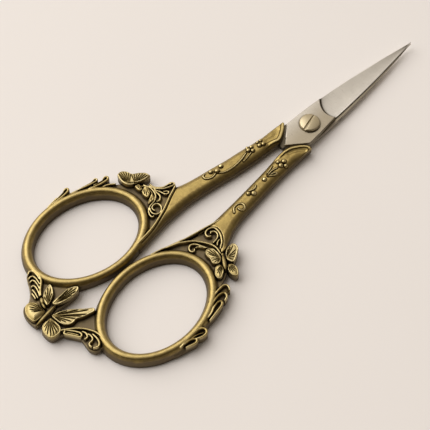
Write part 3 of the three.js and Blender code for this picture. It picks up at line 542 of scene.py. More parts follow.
RIGHT = {
    "side": -1,
    "shank": [
        [(-9.6, -1.75), (-11.1, -1.95), (-13.1, -2), (-15.2, -2.25), (-17.9, -2.65), (-23.4, -3.4),
         (-28.6, -4.05), (-33.6, -4.6), (-38.2, -4.95), (-42.8, -4.75)],
        [(-42.8, -4.75), (-41.6, -5.6), (-40.3, -5.7), (-39.1, -5.85), (-38.35, -6.6), (-38.1, -7.6),
         (-38.6, -8.9), (-39.9, -10.6), (-41.6, -12.4), (-41.9, -13.1)],
        [(-41.9, -13.1), (-40.4, -13), (-38.9, -12.2)],
        [(-38.9, -12.2), (-36.6, -10.9), (-34, -9.8), (-31, -9.05), (-24.4, -8), (-17.8, -7.1),
         (-11.1, -6.45), (-4.8, -6.15)],
        [(-4.8, -6.15), (-5.2, -4.9), (-6.2, -3.85), (-7.9, -2.6), (-9.6, -1.75)],
    ],
    "tip": (-4.8, -6.1),
    "bow": [
        [(-62.3, -12.8), (-48.5, -19.6)],
        [(-48.5, -19.6), (-47, -18.8), (-44, -17.3), (-41.2, -14.2), (-39, -12.4), (-37.5, -9),
         (-37.3, -5.5)],
        [(-37.3, -5.5), (-42, -5.3), (-46, -4.45), (-50, -3.25), (-54, -2)],
        [(-54, -2), (-62.3, -12.8)],
    ],
    "tail": [
        [(-62.3, -12.8), (-73.6, -4.1)],
        [(-73.6, -4.1), (-74.7, -3.1), (-77, -1.5), (-79.5, 0.1), (-81.5, 0.9), (-84.5, 1.1), (-86.3, 0.2),
         (-86.5, -1.2), (-86.2, -2.7), (-85, -3.4), (-83.5, -3.7), (-82.9, -4.7), (-81.8, -6.3), (-81, -7.6),
         (-81.2, -9.6), (-81.3, -11), (-80.7, -12.2), (-79.7, -12.6)],
        [(-79.7, -12.6), (-62.3, -12.8)],
    ],
    "bars": [
        (0.42, 3.12, [(-54.4, -1.95), (-52, -2.5), (-50, -3.1), (-47, -3.85), (-45.6, -4.25), (-43.4, -4.65),
         (-41.2, -5), (-39.3, -5.35), (-37.6, -5.65), (-36, -5.9)]),
        (0.46, 3.2, [(-50.5, -3.1), (-48.5, -3.75), (-47.25, -4.25), (-46.4, -4.85), (-45.5, -5.4),
         (-44.3, -6.45), (-43.3, -7.7), (-42.6, -8.8), (-42.1, -9.8), (-41.85, -10.8), (-41.9, -11.8),
         (-42.2, -13)]),
        (0.44, 3.15, [(-43.6, -9.6), (-44.1, -8.55), (-44.55, -7.5), (-45.25, -6.7), (-46, -6.45),
         (-46.65, -6.8), (-47, -7.45), (-46.85, -8.1), (-46.25, -8.2), (-45.9, -7.85)]),
        (0.34, 2.95, [(-43.85, -9.3), (-44.35, -8.6), (-44.85, -7.95), (-45.5, -7.75)]),
        (0.46, 3.2, [(-41.3, -12), (-40.7, -11.55), (-39.9, -11), (-39.3, -10.25), (-38.7, -9.3),
         (-38.35, -8.25), (-38.3, -7.35), (-38.6, -6.6), (-39.2, -6.2), (-40.05, -6.05), (-40.85, -6.3),
         (-41.25, -6.9), (-41.2, -7.55), (-40.6, -7.9)]),
        (0.4, 3.1, [(-40.1, -7.3), (-39.8, -7.05), (-39.3, -7.25), (-38.95, -7.75), (-39, -8.45),
         (-39.45, -9.05), (-40.15, -9.4), (-41.35, -9.6)]),
        (0.36, 3, [(-41.1, -10.75), (-40.7, -10.3), (-40, -10), (-39.65, -9.95)]),
        (0.5, 3.2, [(-82.9, -3.1), (-81.35, -4.1), (-79.8, -5.3), (-78.55, -6.75), (-77.55, -8.55),
         (-77.25, -10.2), (-77.35, -11.9)]),
        (0.44, 3.1, [(-82.4, -3.7), (-83, -4.1), (-82.3, -5.2), (-81.5, -6.4), (-80.85, -7.3),
         (-80.3, -7.15), (-80.2, -6.4), (-81.2, -4.9), (-82.3, -3.7)]),
        (0.38, 2.9, [(-82.35, -4.3), (-81.5, -5.5), (-80.85, -6.6)]),
        (0.45, 3.1, [(-79.6, -6.6), (-79.3, -7.35), (-79.4, -8.1), (-79.85, -8.5), (-80.4, -8.45)]),
        (0.45, 3.1, [(-79, -8), (-78.85, -8.9), (-79.1, -9.65), (-79.7, -9.9), (-80.3, -9.95),
         (-80.65, -10.35), (-80.6, -11)]),
        (0.5, 3.15, [(-78.3, -8.75), (-78.25, -10.1), (-78.5, -11.2), (-79.05, -11.85), (-79.75, -11.9),
         (-80.4, -11.5)]),
    ],
    "grooves": [
        (0.18, 0.34, [(-37.95, -7.3), (-38, -8.35), (-38.4, -9.45), (-39.05, -10.5), (-40, -11.4),
         (-40.9, -12.05)]),
    ],
    "leaves": [],
    "curls": [
        (0.56, 3.15, [(-53.2, -21), (-51.9, -20.6), (-49.85, -20), (-48.3, -19.75), (-47.35, -19.8),
         (-46.85, -20.3), (-46.9, -21), (-47.3, -21.65)]),
        (0.56, 3.15, [(-53.6, -22), (-52.05, -21.35), (-50.4, -20.95), (-49.3, -21), (-48.65, -21.4),
         (-48.7, -22.1), (-49.2, -22.6), (-50, -22.9)]),
        (0.56, 3.1, [(-55.9, -23.6), (-54.4, -23.15), (-53.1, -22.5), (-51.65, -22.15), (-50.75, -22.4),
         (-50.95, -23.05), (-52, -23.5), (-54.05, -23.95), (-56.1, -24.4)]),
        (0.9, 2.35, [(-51.6, -23.3), (-53, -23.7), (-54.8, -24), (-56.5, -24.2), (-58.2, -24.4)]),
        (0.62, 3.15, [(-65, -24.8), (-63.1, -24.5), (-61, -24.3), (-59.6, -24.35), (-58.6, -24.8),
         (-58.35, -25.5), (-58.7, -26.1), (-59.4, -26.35), (-60.5, -26.2), (-61.5, -25.8)]),
        (0.34, 3, [(-63.2, -25), (-62.1, -25), (-60.9, -25.1), (-59.9, -25.45), (-59.2, -25.85)]),
        (0.58, 3.1, [(-65.8, -24.9), (-64.4, -24.95), (-63.2, -25), (-62.3, -25.25), (-61.7, -25.7),
         (-61.75, -26.2), (-62.5, -26.4), (-63.6, -26.15), (-64.8, -25.8)]),
        (1.1, 1.9, [(-62.6, -26), (-64.2, -25.7), (-66, -25.35), (-67.8, -25)]),
    ],
    "beads": [
        (-25.8, -5.35, 0.55), (-24.8, -6.15, 0.66), (-20.1, -5, 0.55), (-14.15, -3.65, 0.53),
        (-12.9, -4.45, 0.63), (-14.3, -4.8, 0.63), (-13.4, -5.6, 0.55),
    ],
    "stems": [
        (0.5, [(-32.1, -7), (-31.3, -6), (-30.2, -5.7), (-29.1, -6.1), (-28.8, -7), (-29.4, -7.8),
         (-30.3, -7.6), (-30.6, -6.8)]),
        (0.46, [(-25.2, -4.75), (-24.4, -5.2), (-23.5, -5.25), (-22.9, -4.8)]),
        (0.43, [(-18.5, -4.25), (-17.3, -3.85), (-16, -3.45)]),
        (0.43, [(-18.8, -4.75), (-17.45, -4.45), (-16.35, -4.5), (-15.4, -4.7)]),
        (0.43, [(-18.8, -4.95), (-18.05, -5.45), (-17.3, -5.85), (-16.5, -5.75), (-17.1, -5.2),
         (-18, -5.05)]),
    ],
    "rims": [
        (0.64, 0.22, [(-5.5, -6.1), (-5.35, -5.65), (-5.8, -4.85), (-6.65, -4.1), (-7.75, -3.4),
         (-8.85, -2.85), (-10.25, -2.55), (-11.6, -2.5), (-13.2, -2.65), (-15.5, -2.95)]),
    ],
    "dishes": [
        (0.9, 0.22, [(-10.2, -3.5), (-8.6, -4.05), (-7.3, -4.9), (-6.7, -5.6)]),
    ],
}


# Butterflies
# A wing has its top, its fall towards the rim and its outline, then fans of grooves, each with a root
# and ends. A ridge has width, top and points, and a body has place, half sizes and turn in degrees.

LEFT_BOW = {
    "wings": [
        (3.35, 0.15, [(-45.75, 20.4), (-45.15, 20.7), (-44.35, 20.6), (-43.7, 20.1), (-43.2, 19.3),
         (-42.95, 18.5), (-42.55, 18.05), (-41.85, 17.65), (-40.95, 17), (-40.25, 16.3), (-39.95, 15.45),
         (-40.05, 14.7), (-41.5, 14.65), (-42.55, 14.8), (-43.35, 15.15), (-44.7, 15.5), (-45.4, 15.95),
         (-46, 16.8), (-46.25, 17.8), (-46.15, 18.9), (-46, 19.9)],
         [((-45.2, 16.6), [(-45.85, 19), (-45.65, 19.8), (-45.2, 20.3), (-44.7, 20.3), (-44.15, 20),
          (-43.7, 19.55), (-43.35, 18.95), (-43.15, 18.35)]),
          ((-44.1, 15.9), [(-43.1, 18.1), (-42.6, 17.7), (-42, 17.3), (-41.4, 16.95), (-40.85, 16.45),
           (-40.5, 15.9), (-40.3, 15.3)])]),
    ],
    "ridges": [
        (0.46, 3.65, [(-45.7, 20.2), (-46.05, 18.8), (-46.1, 17.85), (-45.85, 16.8), (-45.2, 16),
         (-44.5, 15.65)]),
        (0.36, 3.55, [(-45, 16.8), (-44.3, 16.1), (-43.5, 15.55), (-42.6, 15.15), (-41.6, 14.95),
         (-40.4, 15)]),
    ],
    "bodies": [],
}

RIGHT_BOW = {
    "wings": [
        (3.4, 0.15, [(-42.8, -13.9), (-42.5, -12.7), (-42.5, -11.75), (-42.6, -10.95), (-43.1, -10.3),
         (-43.85, -10), (-44.5, -10.2), (-44.95, -10.75), (-45.15, -11.55), (-45.1, -12.45), (-45.35, -13.2),
         (-45.45, -13.9), (-45.1, -14.45), (-44.4, -14.8), (-43.6, -14.65)],
         [((-43.2, -14.1), [(-42.95, -11.3), (-43.5, -10.6), (-44.15, -10.6), (-44.5, -11.15),
          (-44.7, -12.55), (-44.9, -13.2), (-44.9, -13.9), (-44.4, -14.4)])]),
        (3.3, 0.3, [(-44.5, -14.95), (-45.5, -14.85), (-46.3, -15.4), (-47, -16.2), (-47.3, -17.1),
         (-47.1, -17.8), (-46.35, -17.95), (-45.4, -17.5), (-44.65, -16.9), (-44.25, -16.2), (-44.2, -15.3)],
         [((-44.3, -15.6), [(-45.9, -15.9), (-46.4, -16.5), (-46.2, -17), (-45.5, -16.95),
          (-44.9, -16.6)])]),
        (3.4, 0.15, [(-41.75, -14.4), (-41.15, -13.65), (-40.3, -13.1), (-39.35, -12.85), (-38.4, -12.9),
         (-37.9, -13.3), (-37.85, -14.2), (-38.25, -15), (-39.2, -15.75), (-40.15, -16.35), (-41.25, -16.85),
         (-41.75, -16.7), (-42.05, -16.05), (-42.2, -15.3)],
         [((-42, -15), [(-40.9, -13.9), (-40.1, -13.5), (-39.3, -13.3), (-38.6, -13.5), (-38.9, -14.8),
          (-39.6, -15.4), (-40.4, -15.95), (-41.2, -16.35)])]),
        (3.3, 0.3, [(-43.05, -16.5), (-42.5, -16.5), (-42, -16.9), (-41.8, -17.6), (-41.8, -18.4),
         (-42.3, -19.4), (-42.9, -20), (-43.55, -20.1), (-44, -19.5), (-44.2, -18.55), (-43.95, -17.55),
         (-43.5, -16.85)],
         [((-43.1, -16.7), [(-43.75, -18.1), (-43.45, -18.8), (-42.95, -18.8), (-42.45, -18.5),
          (-42.1, -17.9)])]),
    ],
    "ridges": [],
    "bodies": [(-43.25, -15.45, 2.05, 0.6, 57), (-42.1, -13.6, 0.45, 0.45, 57)],
}

LEFT_TAIL = {
    "wings": [
        (3.35, 0.65, [(-86.1, 2.9), (-86.6, 4.4), (-86.3, 6.2), (-85.3, 7.5), (-84.1, 7.8), (-83.1, 7.2),
         (-82.6, 6.4), (-82.4, 5.4), (-82.45, 4.2), (-82.7, 3.2), (-84.2, 2.7)],
         [((-82.7, 3.5), [(-82.75, 5.9), (-83.15, 6.5), (-83.85, 6.8), (-84.6, 6.6), (-84.95, 6),
          (-84.9, 5.3), (-84.65, 4.8)])]),
        (3.35, 0.15, [(-77.35, 8.1), (-77.25, 7.4), (-77.6, 6.5), (-78.3, 5.5), (-79, 4.95), (-79.8, 4.5),
         (-80.85, 4.05), (-81.4, 4.2), (-81.3, 5.1), (-80.85, 6.3), (-80.05, 7.1), (-79.1, 7.65),
         (-78.1, 8)],
         [((-80.95, 4.3), [(-80.4, 6.2), (-79.4, 7.1), (-78.3, 7.5), (-77.95, 6.9), (-78.6, 5.7),
          (-79.6, 4.8)])]),
        (3.4, 0.1, [(-80, 3.8), (-78.5, 4.05), (-77.05, 4.15), (-75.4, 4.25), (-74.25, 4), (-73.3, 3.55),
         (-72.85, 2.95), (-73.3, 2.35), (-74.45, 2), (-75.9, 1.9), (-77.3, 2.05), (-78.9, 2.4),
         (-79.9, 2.9)],
         [((-79.8, 3.4), [(-75.2, 3.9), (-74.1, 3.5), (-73.4, 2.9), (-74.1, 2.4), (-75.3, 2.2), (-76.5, 2.3),
          (-77.7, 2.6)])]),
    ],
    "ridges": [],
    "bodies": [(-83.25, 2.25, 3.45, 0.52, 10), (-81.45, 5.85, 0.9, 0.55, 62), (-82, 4.6, 0.9, 0.35, 80)],
}

RIGHT_TAIL = {
    "wings": [
        (3.35, 0.35, [(-83, 1.15), (-84.5, 1.15), (-85.4, 0.9), (-86, 0.4), (-86.4, -0.5), (-86.5, -1.6),
         (-86.3, -2.7), (-85.7, -3.3), (-84.8, -3.45), (-83.6, -3.4), (-82.8, -2.8), (-82.45, -1.8),
         (-82.5, -0.4), (-82.6, 0.9)],
         [((-83.2, 0.9), [(-85.4, 0.15), (-85.9, -0.75), (-86, -1.75), (-85.7, -2.7), (-85, -3.05),
          (-84.15, -3.05), (-83.35, -2.7), (-82.95, -2.05)])]),
        (3.4, 0.1, [(-82.3, 1.2), (-81.2, 1.15), (-79.9, 0.7), (-78.7, 0.1), (-77.1, -1.05), (-75.6, -2.35),
         (-74.7, -3), (-74, -3.5), (-73.75, -4.15), (-74.3, -4.6), (-75.4, -4.4), (-77.1, -4),
         (-78.3, -3.45), (-78.9, -3.35), (-79.7, -3.55), (-80.7, -3.35), (-81.6, -2.6), (-82.1, -1.55),
         (-82.3, -0.2)],
         [((-82.15, 1.1), [(-78.8, -0.2), (-76.8, -1.75), (-75.1, -3.35), (-76.1, -4), (-77.3, -3.5),
          (-78.7, -3.1), (-79.9, -3), (-80.9, -2.35), (-81.65, -1.3)])]),
    ],
    "ridges": [],
    "bodies": [],
}


# Castings


def ring_bar(grid, side):
    """A finger ring, rounded on top. Its walls spread, but not where the rings lie side by side."""
    centre = ring_line(side)
    spans, x, y = grid.over(centre, RING_WIDTH)
    d, _ = line_distance(x, y, centre)
    half = RING_WIDTH / 2
    rise = RING_TOP / 2
    room = np.clip((side * y - 1.2) / 2, 0, 1)[..., None]
    flare = RING_FLARE * room * np.clip((FLARE_TOP - grid.z) / FLARE_HEIGHT, 0, 1)
    beyond = np.maximum(d[..., None] - flare, 0)
    across = beyond / half
    up = np.maximum(grid.z - (RING_TOP - rise), 0) / rise
    size = (across ** RING_ROUND + up ** RING_ROUND) ** (1 / RING_ROUND)
    steep = np.hypot(across ** (RING_ROUND - 1) / half, up ** (RING_ROUND - 1) / rise)
    steep = steep / np.maximum(size, 0.05) ** (RING_ROUND - 1)
    distance = (size - 1) / np.maximum(steep, 0.5)
    foot = beyond - half + FOOT_ROUNDING * np.clip(1 - grid.z / 0.35, 0, 2) ** 2
    grid.join(spans, np.maximum(np.maximum(distance, foot), -grid.z))


def shank_height(form, x, y):
    """The shank's top: lower towards its free edges, raised along its rims and hollowed beside them."""
    edge = np.min([line_distance(x, y, smooth(form["shank"][run]))[0] for run in FREE_EDGES], axis=0)
    near = np.hypot(x - form["tip"][0], y - form["tip"][1])
    crown = SHANK_CROWN * np.clip((near - 1.5) / 5, 0.15, 1)
    top = SHANK_TOP - crown * (1 - np.clip(edge / SHANK_SHOULDER, 0, 1)) ** 2
    for width, depth, line in form["dishes"]:
        away, _ = line_distance(x, y, smooth(line))
        top = top - depth * np.exp(-(2 * away / width) ** 2)
    for width, lift, line in form["rims"]:
        away, share = line_distance(x, y, smooth(line))
        sinking = RIM_SINK * np.clip((share - 0.45) / 0.55, 0, 1) ** 2
        flank = (1.6 - share) * np.maximum(away - 0.35 * width, 0)
        top = np.maximum(top, SHANK_TOP + lift - sinking - flank)
    return top


def relief(grid, d, top, soft):
    """Distance to an upright wall with a surface of heights on it, the corner between them rounded."""
    slope = np.gradient(top, grid.step)
    steep = np.sqrt(1 + slope[0] ** 2 + slope[1] ** 2)
    above = (grid.z - top[..., None]) / steep[..., None]
    return blend_max(d[..., None] + 0 * grid.z, above, soft)


def crowned_shank(grid, form):
    """The shank, with the relief of its top over its outline."""
    points = closed_runs(*form["shank"])
    spans, x, y = grid.over(points)
    d = outline_distance(x, y, points)
    rim = np.min([line_distance(x, y, smooth(line))[0] for _, _, line in form["rims"]], axis=0)
    soft = 0.14 + 0.3 * np.clip(rim - 0.5, 0, 1)[..., None]
    distance = relief(grid, d, shank_height(form, x, y), soft)
    grid.join(spans, blend_max(distance, SHANK_BOTTOM - grid.z, 0.6), 0.3)


def fan(x, y, root, ends):
    """For each line from the root to an end: its length, the distance to it and the share of its length."""
    for end in ends:
        yield (math.dist(root, end), *line_distance(x, y, np.array([root, end], float)))


def veined(grid, outline, root, ends):
    """A domed leaf with dark veins."""
    line = smooth(outline, closed=True)
    spans, x, y = grid.over(line)
    d = outline_distance(x, y, line)
    vein = np.zeros(d.shape)
    for _, away, share in fan(x, y, root, ends):
        fade = np.clip(share / 0.6, 0.1, 1) * np.clip((1 - share) / 0.15, 0, 1)
        vein = np.maximum(vein, np.exp(-(away / VEIN_HALF) ** 2) * fade)
    height = LEAF_TOP - LEAF_DOME * np.clip(1 + d / 0.4, 0, 1) ** 2 - VEIN_DEPTH * vein
    grid.join(spans, np.maximum(relief(grid, d, height, 0.15), PLATE_BOTTOM - grid.z), 0.06)
    grid.dark[spans] = np.where(d < -0.03, 1.1 * vein - 0.35, grid.dark[spans])


def ribbed(grid, outline, top, fall, fans):
    """A wing whose dished face has a broad rim and fans of ribs, parted by dark grooves."""
    line = smooth(outline, closed=True)
    spans, x, y = grid.over(line)
    d = outline_distance(x, y, line)
    near = np.min([np.hypot(x - root[0], y - root[1]) for root, _ in fans], axis=0)
    rimmed = np.clip((near - 0.7) / 0.9, 0, 1)
    inner = np.clip((-d - WING_RIM_INSET * rimmed - 0.05) / 0.15, 0, 1)
    height = top - fall * np.clip(1 + d / (0.7 + 1.3 * fall), 0, 1) ** 2
    height += rimmed * (WING_RIM_RISE * np.exp(-((d + WING_RIM_INSET) / 0.13) ** 2) - WING_DISH * inner)
    groove = np.zeros(d.shape)
    shade = np.zeros(d.shape)
    for root, ends in fans:
        for length, away, share in fan(x, y, root, ends):
            past_tip = np.clip((share - 0.9) / 0.1, 0, 1)
            half = min(max(GROOVE_SHARE * length, 0.07), 0.12) * np.clip(share / 0.6, 0.45, 1)
            cut = np.exp(-(away / half) ** 2) * np.clip(share / 0.4, 0.4, 1) * (1 - 0.6 * past_tip)
            groove = np.maximum(groove, cut)
            shade = np.maximum(shade, np.exp(-(away / 0.5) ** 2) * np.clip(1 - 1.8 * share, 0, 1))
    height -= GROOVE_DEPTH * groove * inner
    grid.join(spans, np.maximum(relief(grid, d, height, 0.2), PLATE_TOP - grid.z), 0.08)
    grid.darken(spans, inner * np.clip(0.95 * groove + 0.15 * shade, 0, 1) * (d < 0))


def handle_grid(form, butterflies):
    """A handle's ring, shank and plates, then what is cast on them."""
    # The right tail reaches over the middle line
    low_y, high_y = (-0.6, 28) if form["side"] > 0 else (-28, 2.4)
    box = ((-88, low_y, -0.4), (-4, high_y, 4.2))
    grid = Grid(*box, CAST_STEP)
    ring_bar(grid, form["side"])
    crowned_shank(grid, form)
    plates = Grid(*box, CAST_STEP)
    for plate in ("bow", "tail"):
        plates.slab(closed_runs(*form[plate]), PLATE_BOTTOM, PLATE_TOP)
    hole = ring_line(form["side"])[:-1]
    spans, x, y = plates.over(hole)
    plates.cut(spans, outline_distance(x, y, hole)[..., None] + 0 * plates.z)
    grid.d = blend_min(grid.d, plates.d, 0.25)
    for butterfly in butterflies:
        for _, _, outline, _ in butterfly["wings"]:
            grid.slab(smooth(outline, closed=True), PLATE_BOTTOM, PLATE_TOP + 0.05, rounding=0.1)
    for width, depth, points in form["grooves"]:
        grid.carve(smooth(points), width, depth, SHANK_TOP)
    for width, top, points in form["bars"]:
        grid.bar(smooth(points), width, top, bottom=PLATE_BOTTOM, tail=0.75, soft=BAR_SOFT)
    for outline, root, ends in form["leaves"]:
        veined(grid, outline, root, ends)
    for width, top, points in form["curls"]:
        line = smooth(points)
        grid.slab(line, PLATE_BOTTOM, min(CURL_FLOOR, top - 0.3), rounding=0.1)
        grid.bar(line, width, top, bottom=PLATE_BOTTOM, tail=0.5, soft=BAR_SOFT)
        spans, x, y = grid.over(line)
        beside = line_distance(x, y, line)[0] > 0.45 * width
        grid.darken(spans, 0.4 * beside * (outline_distance(x, y, line) < 0))
    for x0, y0, r in form["beads"]:
        level = float(shank_height(form, np.array([x0]), np.array([y0]))[0])
        grid.lobe(x0, y0, r, r, r, level, soft=CRISP)
        spans, x, y = grid.window((x0, y0), (x0, y0))
        away = np.hypot(x - x0, y - y0) - r
        grid.halo(spans, away)
        # Painted highlight: the beads' tops are marked so that the material lightens them
        grid.dark[spans] = np.where(away < -0.1, -0.7, grid.dark[spans])
    for width, points in form["stems"]:
        line = smooth(points)
        grid.bar(line, width, STEM_RISE, SHANK_TOP - SHANK_CROWN - 0.3, tail=0.6, soft=CRISP,
                 ground=lambda x, y: shank_height(form, x, y))
        spans, away, _ = grid.along(line)
        grid.halo(spans, away - width / 2)
    # Painted shade in the dishes beside the rims
    for width, _, points in form["dishes"]:
        spans, away, _ = grid.along(smooth(points))
        grid.darken(spans, 0.22 * np.exp(-(1.6 * away / width) ** 2))
    for width, _, points in form["rims"]:
        spans, away, share = grid.along(smooth(points))
        grid.halo(spans, np.abs(away - 0.62 * width) - 0.05 + np.clip(share - 0.75, 0, 1))
    return grid


def wing_grid(form):
    """A butterfly's wings, ridges and bodies."""
    points = np.vstack([outline for _, _, outline, _ in form["wings"]])
    low, high = points.min(0) - 1.2, points.max(0) + 1.2
    grid = Grid((*low, PLATE_TOP - 0.6), (*high, 4.6), WING_STEP)
    for top, fall, outline, fans in form["wings"]:
        ribbed(grid, outline, top, fall, fans)
    for width, top, line in form["ridges"]:
        grid.bar(smooth(line), width, top, bottom=PLATE_TOP, tail=0.7, soft=0.06)
    for x0, y0, long, wide, turn in form["bodies"]:
        grid.lobe(x0, y0, long, 0.8 * wide, 0.6 * wide, BODY_LEVEL, turn, soft=0.08, bottom=PLATE_TOP)
        reach = np.array([math.cos(math.radians(turn)), math.sin(math.radians(turn))]) * long * 0.8
        spans, away, _ = grid.along(np.array([(x0, y0) - reach, (x0, y0) + reach]), wide)
        grid.darken(spans, 0.35 * (away < wide))
    return grid


def placed(obj):
    """Moves a piece from the handles' middle line to the part's frame."""
    obj.data.transform(Matrix.Translation((0, MIDDLE * MM, 0)))
    return obj


# Materials

GROUND = (0.155, 0.118, 0.068)  # patina on the ground of the plates and low on the walls
# FOOT: the colour towards the bottom, and of the painted shade on the walls
FOOT = (0.06, 0.042, 0.018)
WALL_SHADE = 0.9
STAIN = (0.225, 0.16, 0.06)
# Colour of the painted shade on the blades
PAINTED_SHADE_TONE = (0.06, 0.048, 0.03)


class Nodes:
    """The nodes of a material or world, with short ways to add the kinds used here."""

    def __init__(self, tree):
        self.tree = tree

    def put(self, socket, value):
        if isinstance(value, bpy.types.NodeSocket):
            self.tree.links.new(value, socket)
        else:
            socket.default_value = value

    def add(self, kind, values=None, **inputs):
        node = self.tree.nodes.new(kind)
        for key, value in (values or {}).items():
            setattr(node, key, value)
        for key, value in inputs.items():
            self.put(node.inputs[key.replace("_", " ")], value)
        return node

    def attribute(self, name):
        return self.add("ShaderNodeAttribute", {"attribute_name": name}).outputs["Fac"]

    def millimetres(self):
        where = self.add("ShaderNodeTexCoord").outputs["Object"]
        scale = self.add("ShaderNodeVectorMath", {"operation": "SCALE"}, Vector=where, Scale=1000)
        return scale.outputs["Vector"]

    def noise(self, where, scale, detail=4.0, roughness=0.55):
        node = self.add("ShaderNodeTexNoise", Vector=where, Scale=scale, Detail=detail, Roughness=roughness)
        return node.outputs["Fac"]

    def math(self, operation, a, b):
        node = self.add("ShaderNodeMath", {"operation": operation})
        self.put(node.inputs[0], a)
        self.put(node.inputs[1], b)
        return node.outputs[0]

    def ranged(self, value, low, high, to_low, to_high):
        node = self.add("ShaderNodeMapRange", Value=value, From_Min=low, From_Max=high,
                        To_Min=to_low, To_Max=to_high)
        return node.outputs["Result"]

    def blend(self, factor, a, b, kind="MIX"):
        """Two colours mixed, each given as three numbers or as a node's output."""
        a, b = ((*c, 1) if isinstance(c, tuple) else c for c in (a, b))
        node = self.add("ShaderNodeMix", {"data_type": "RGBA", "blend_type": kind}, Factor=factor, A=a, B=b)
        return node.outputs[2]

    def ramp(self, factor, stops):
        node = self.add("ShaderNodeValToRGB", Fac=factor)
        elements = node.color_ramp.elements
        while len(elements) < len(stops):
            elements.new(0.5)
        for element, (place, colour) in zip(elements, stops):
            element.position = place
            element.color = (*colour, 1)
        return node.outputs["Color"]

    def bump(self, shader, height, strength, distance):
        node = self.add("ShaderNodeBump", Strength=strength, Distance=distance, Height=height)
        self.put(shader.inputs["Normal"], node.outputs["Normal"])


def material(name):
    m = bpy.data.materials.new(name)
    m.use_nodes = True
    return m, m.node_tree.nodes["Principled BSDF"], Nodes(m.node_tree)


def bronze(name, middle, bright):
    """Brown in the hollows, as patina and painted shade, and on the ground of the plates, bronze on top with
    painted shade on the walls, rubbed bright on the edges, with a painted highlight on the high crests and
    the beads.
    """
    m, shader, n = material(name)
    where = n.millimetres()
    height = n.add("ShaderNodeSeparateXYZ", Vector=where).outputs["Z"]
    grain = n.noise(where, 5.0, 6, 0.65)
    speck = n.ranged(n.noise(where, 1.6, 6, 0.7), 0.3, 0.7, -0.06, 0.06)
    cloud = n.ranged(n.noise(where, 0.3, 5), 0.3, 0.7, -0.25, 0.25)
    level = n.ranged(n.math("ADD", height, cloud), 2.0, 2.8, 0, 1)
    dark = n.attribute("dark")
    # Patina and painted shade in the hollows and where pieces come close, lifted on the beads' tops by a
    # painted highlight
    hollow = n.math("SUBTRACT", n.attribute("open"), n.math("MULTIPLY", dark, 0.62))
    patina_and_shade = n.math("ADD", hollow, speck)
    # Worn bronze above, patina on the ground of the plates, darker towards the bottom, and painted shade on
    # the walls, strongest inside the rings
    stain = n.ranged(n.noise(where, 0.7, 7, 0.7), 0.42, 0.64, 0, 0.7)
    worn = n.blend(stain, middle, STAIN)
    low = n.blend(n.ranged(height, 0.2, 1.2, 0, 1), FOOT, GROUND)
    ground = n.blend(level, low, worn)
    side = n.math("MULTIPLY", n.attribute("side"), n.ranged(height, 2.6, 3.1, WALL_SHADE, 0))
    walls = n.blend(side, ground, FOOT)
    shade = n.ramp(patina_and_shade, [(0.3, (0.09, 0.075, 0.055)), (0.58, (0.38, 0.35, 0.3)), (0.84, (1, 1, 1))])
    shaded = n.blend(1.0, walls, shade, "MULTIPLY")
    # Rubbed bright on edges by wear; on high crests partly wear and partly a painted highlight, and a
    # painted highlight on the beads
    edge = n.ranged(n.attribute("edge"), 0.08, 0.45, 0, 1)
    crest = n.math("MAXIMUM", edge, n.ranged(height, 3.1, 3.4, 0, 0.75))
    wear_and_highlight = n.math("MULTIPLY", crest, n.ranged(patina_and_shade, 0.72, 0.98, 0, 0.58))
    wear_and_highlight = n.math("MULTIPLY", wear_and_highlight, n.ranged(height, 1.6, 2.7, 0.15, 1))
    wear_and_highlight = n.math("MAXIMUM", wear_and_highlight, n.ranged(dark, -0.6, -0.36, 0.95, 0))
    n.put(shader.inputs["Base Color"], n.blend(wear_and_highlight, shaded, bright))
    rough = n.math("ADD", n.ranged(level, 0, 1, 0.5, 0.36), n.ranged(grain, 0.3, 0.7, -0.05, 0.06))
    rough = n.math("ADD", rough, n.ranged(patina_and_shade, 0.5, 0.95, 0.2, 0))
    n.put(shader.inputs["Roughness"], rough)
    n.put(shader.inputs["Metallic"], n.ranged(level, 0, 0.6, 0.7, 1.0))
    shader.inputs["Specular IOR Level"].default_value = 0.2
    n.bump(shader, grain, 0.2, 0.00003)
    return m


def steel(name, tone, ground_tone, streak_turn, roughness):
    """Satin steel, in another tone where it is hollow ground and towards the spine as a painted highlight,
    with painted shade in its corners.
    """
    m, shader, n = material(name)
    where = n.millimetres()
    turn = n.add("ShaderNodeMapping", Vector=where, Rotation=(0, 0, math.radians(streak_turn)),
                 Scale=(26.0, 0.6, 0.6))
    streaks = n.noise(turn.outputs["Vector"], 1.0, 4, 0.6)
    cloud = n.ranged(n.noise(where, 0.25, 3), 0.3, 0.7, 0.93, 1.04)
    light = n.math("MULTIPLY", n.ranged(streaks, 0.25, 0.75, 0.9, 1.06), cloud)
    # Lighter where hollow ground, and towards the spine as a painted highlight
    base = n.blend(n.attribute("hollow"), tone, ground_tone)
    clean = n.blend(1.0, base, light, "MULTIPLY")
    # Painted shade at the step, round the screw's head, on the inner faces and by the handles
    n.put(shader.inputs["Base Color"], n.blend(n.attribute("painted_shade"), clean, PAINTED_SHADE_TONE))
    mark = n.ranged(n.noise(where, 2.2, 6, 0.7), 0.45, 0.75, 0.0, 0.07)
    rough = n.ranged(streaks, 0.2, 0.8, roughness - 0.06, roughness + 0.06)
    n.put(shader.inputs["Roughness"], n.math("ADD", rough, mark))
    shader.inputs["Metallic"].default_value = 1.0
    n.bump(shader, streaks, 0.08, 0.00002)
    return m


# Blades

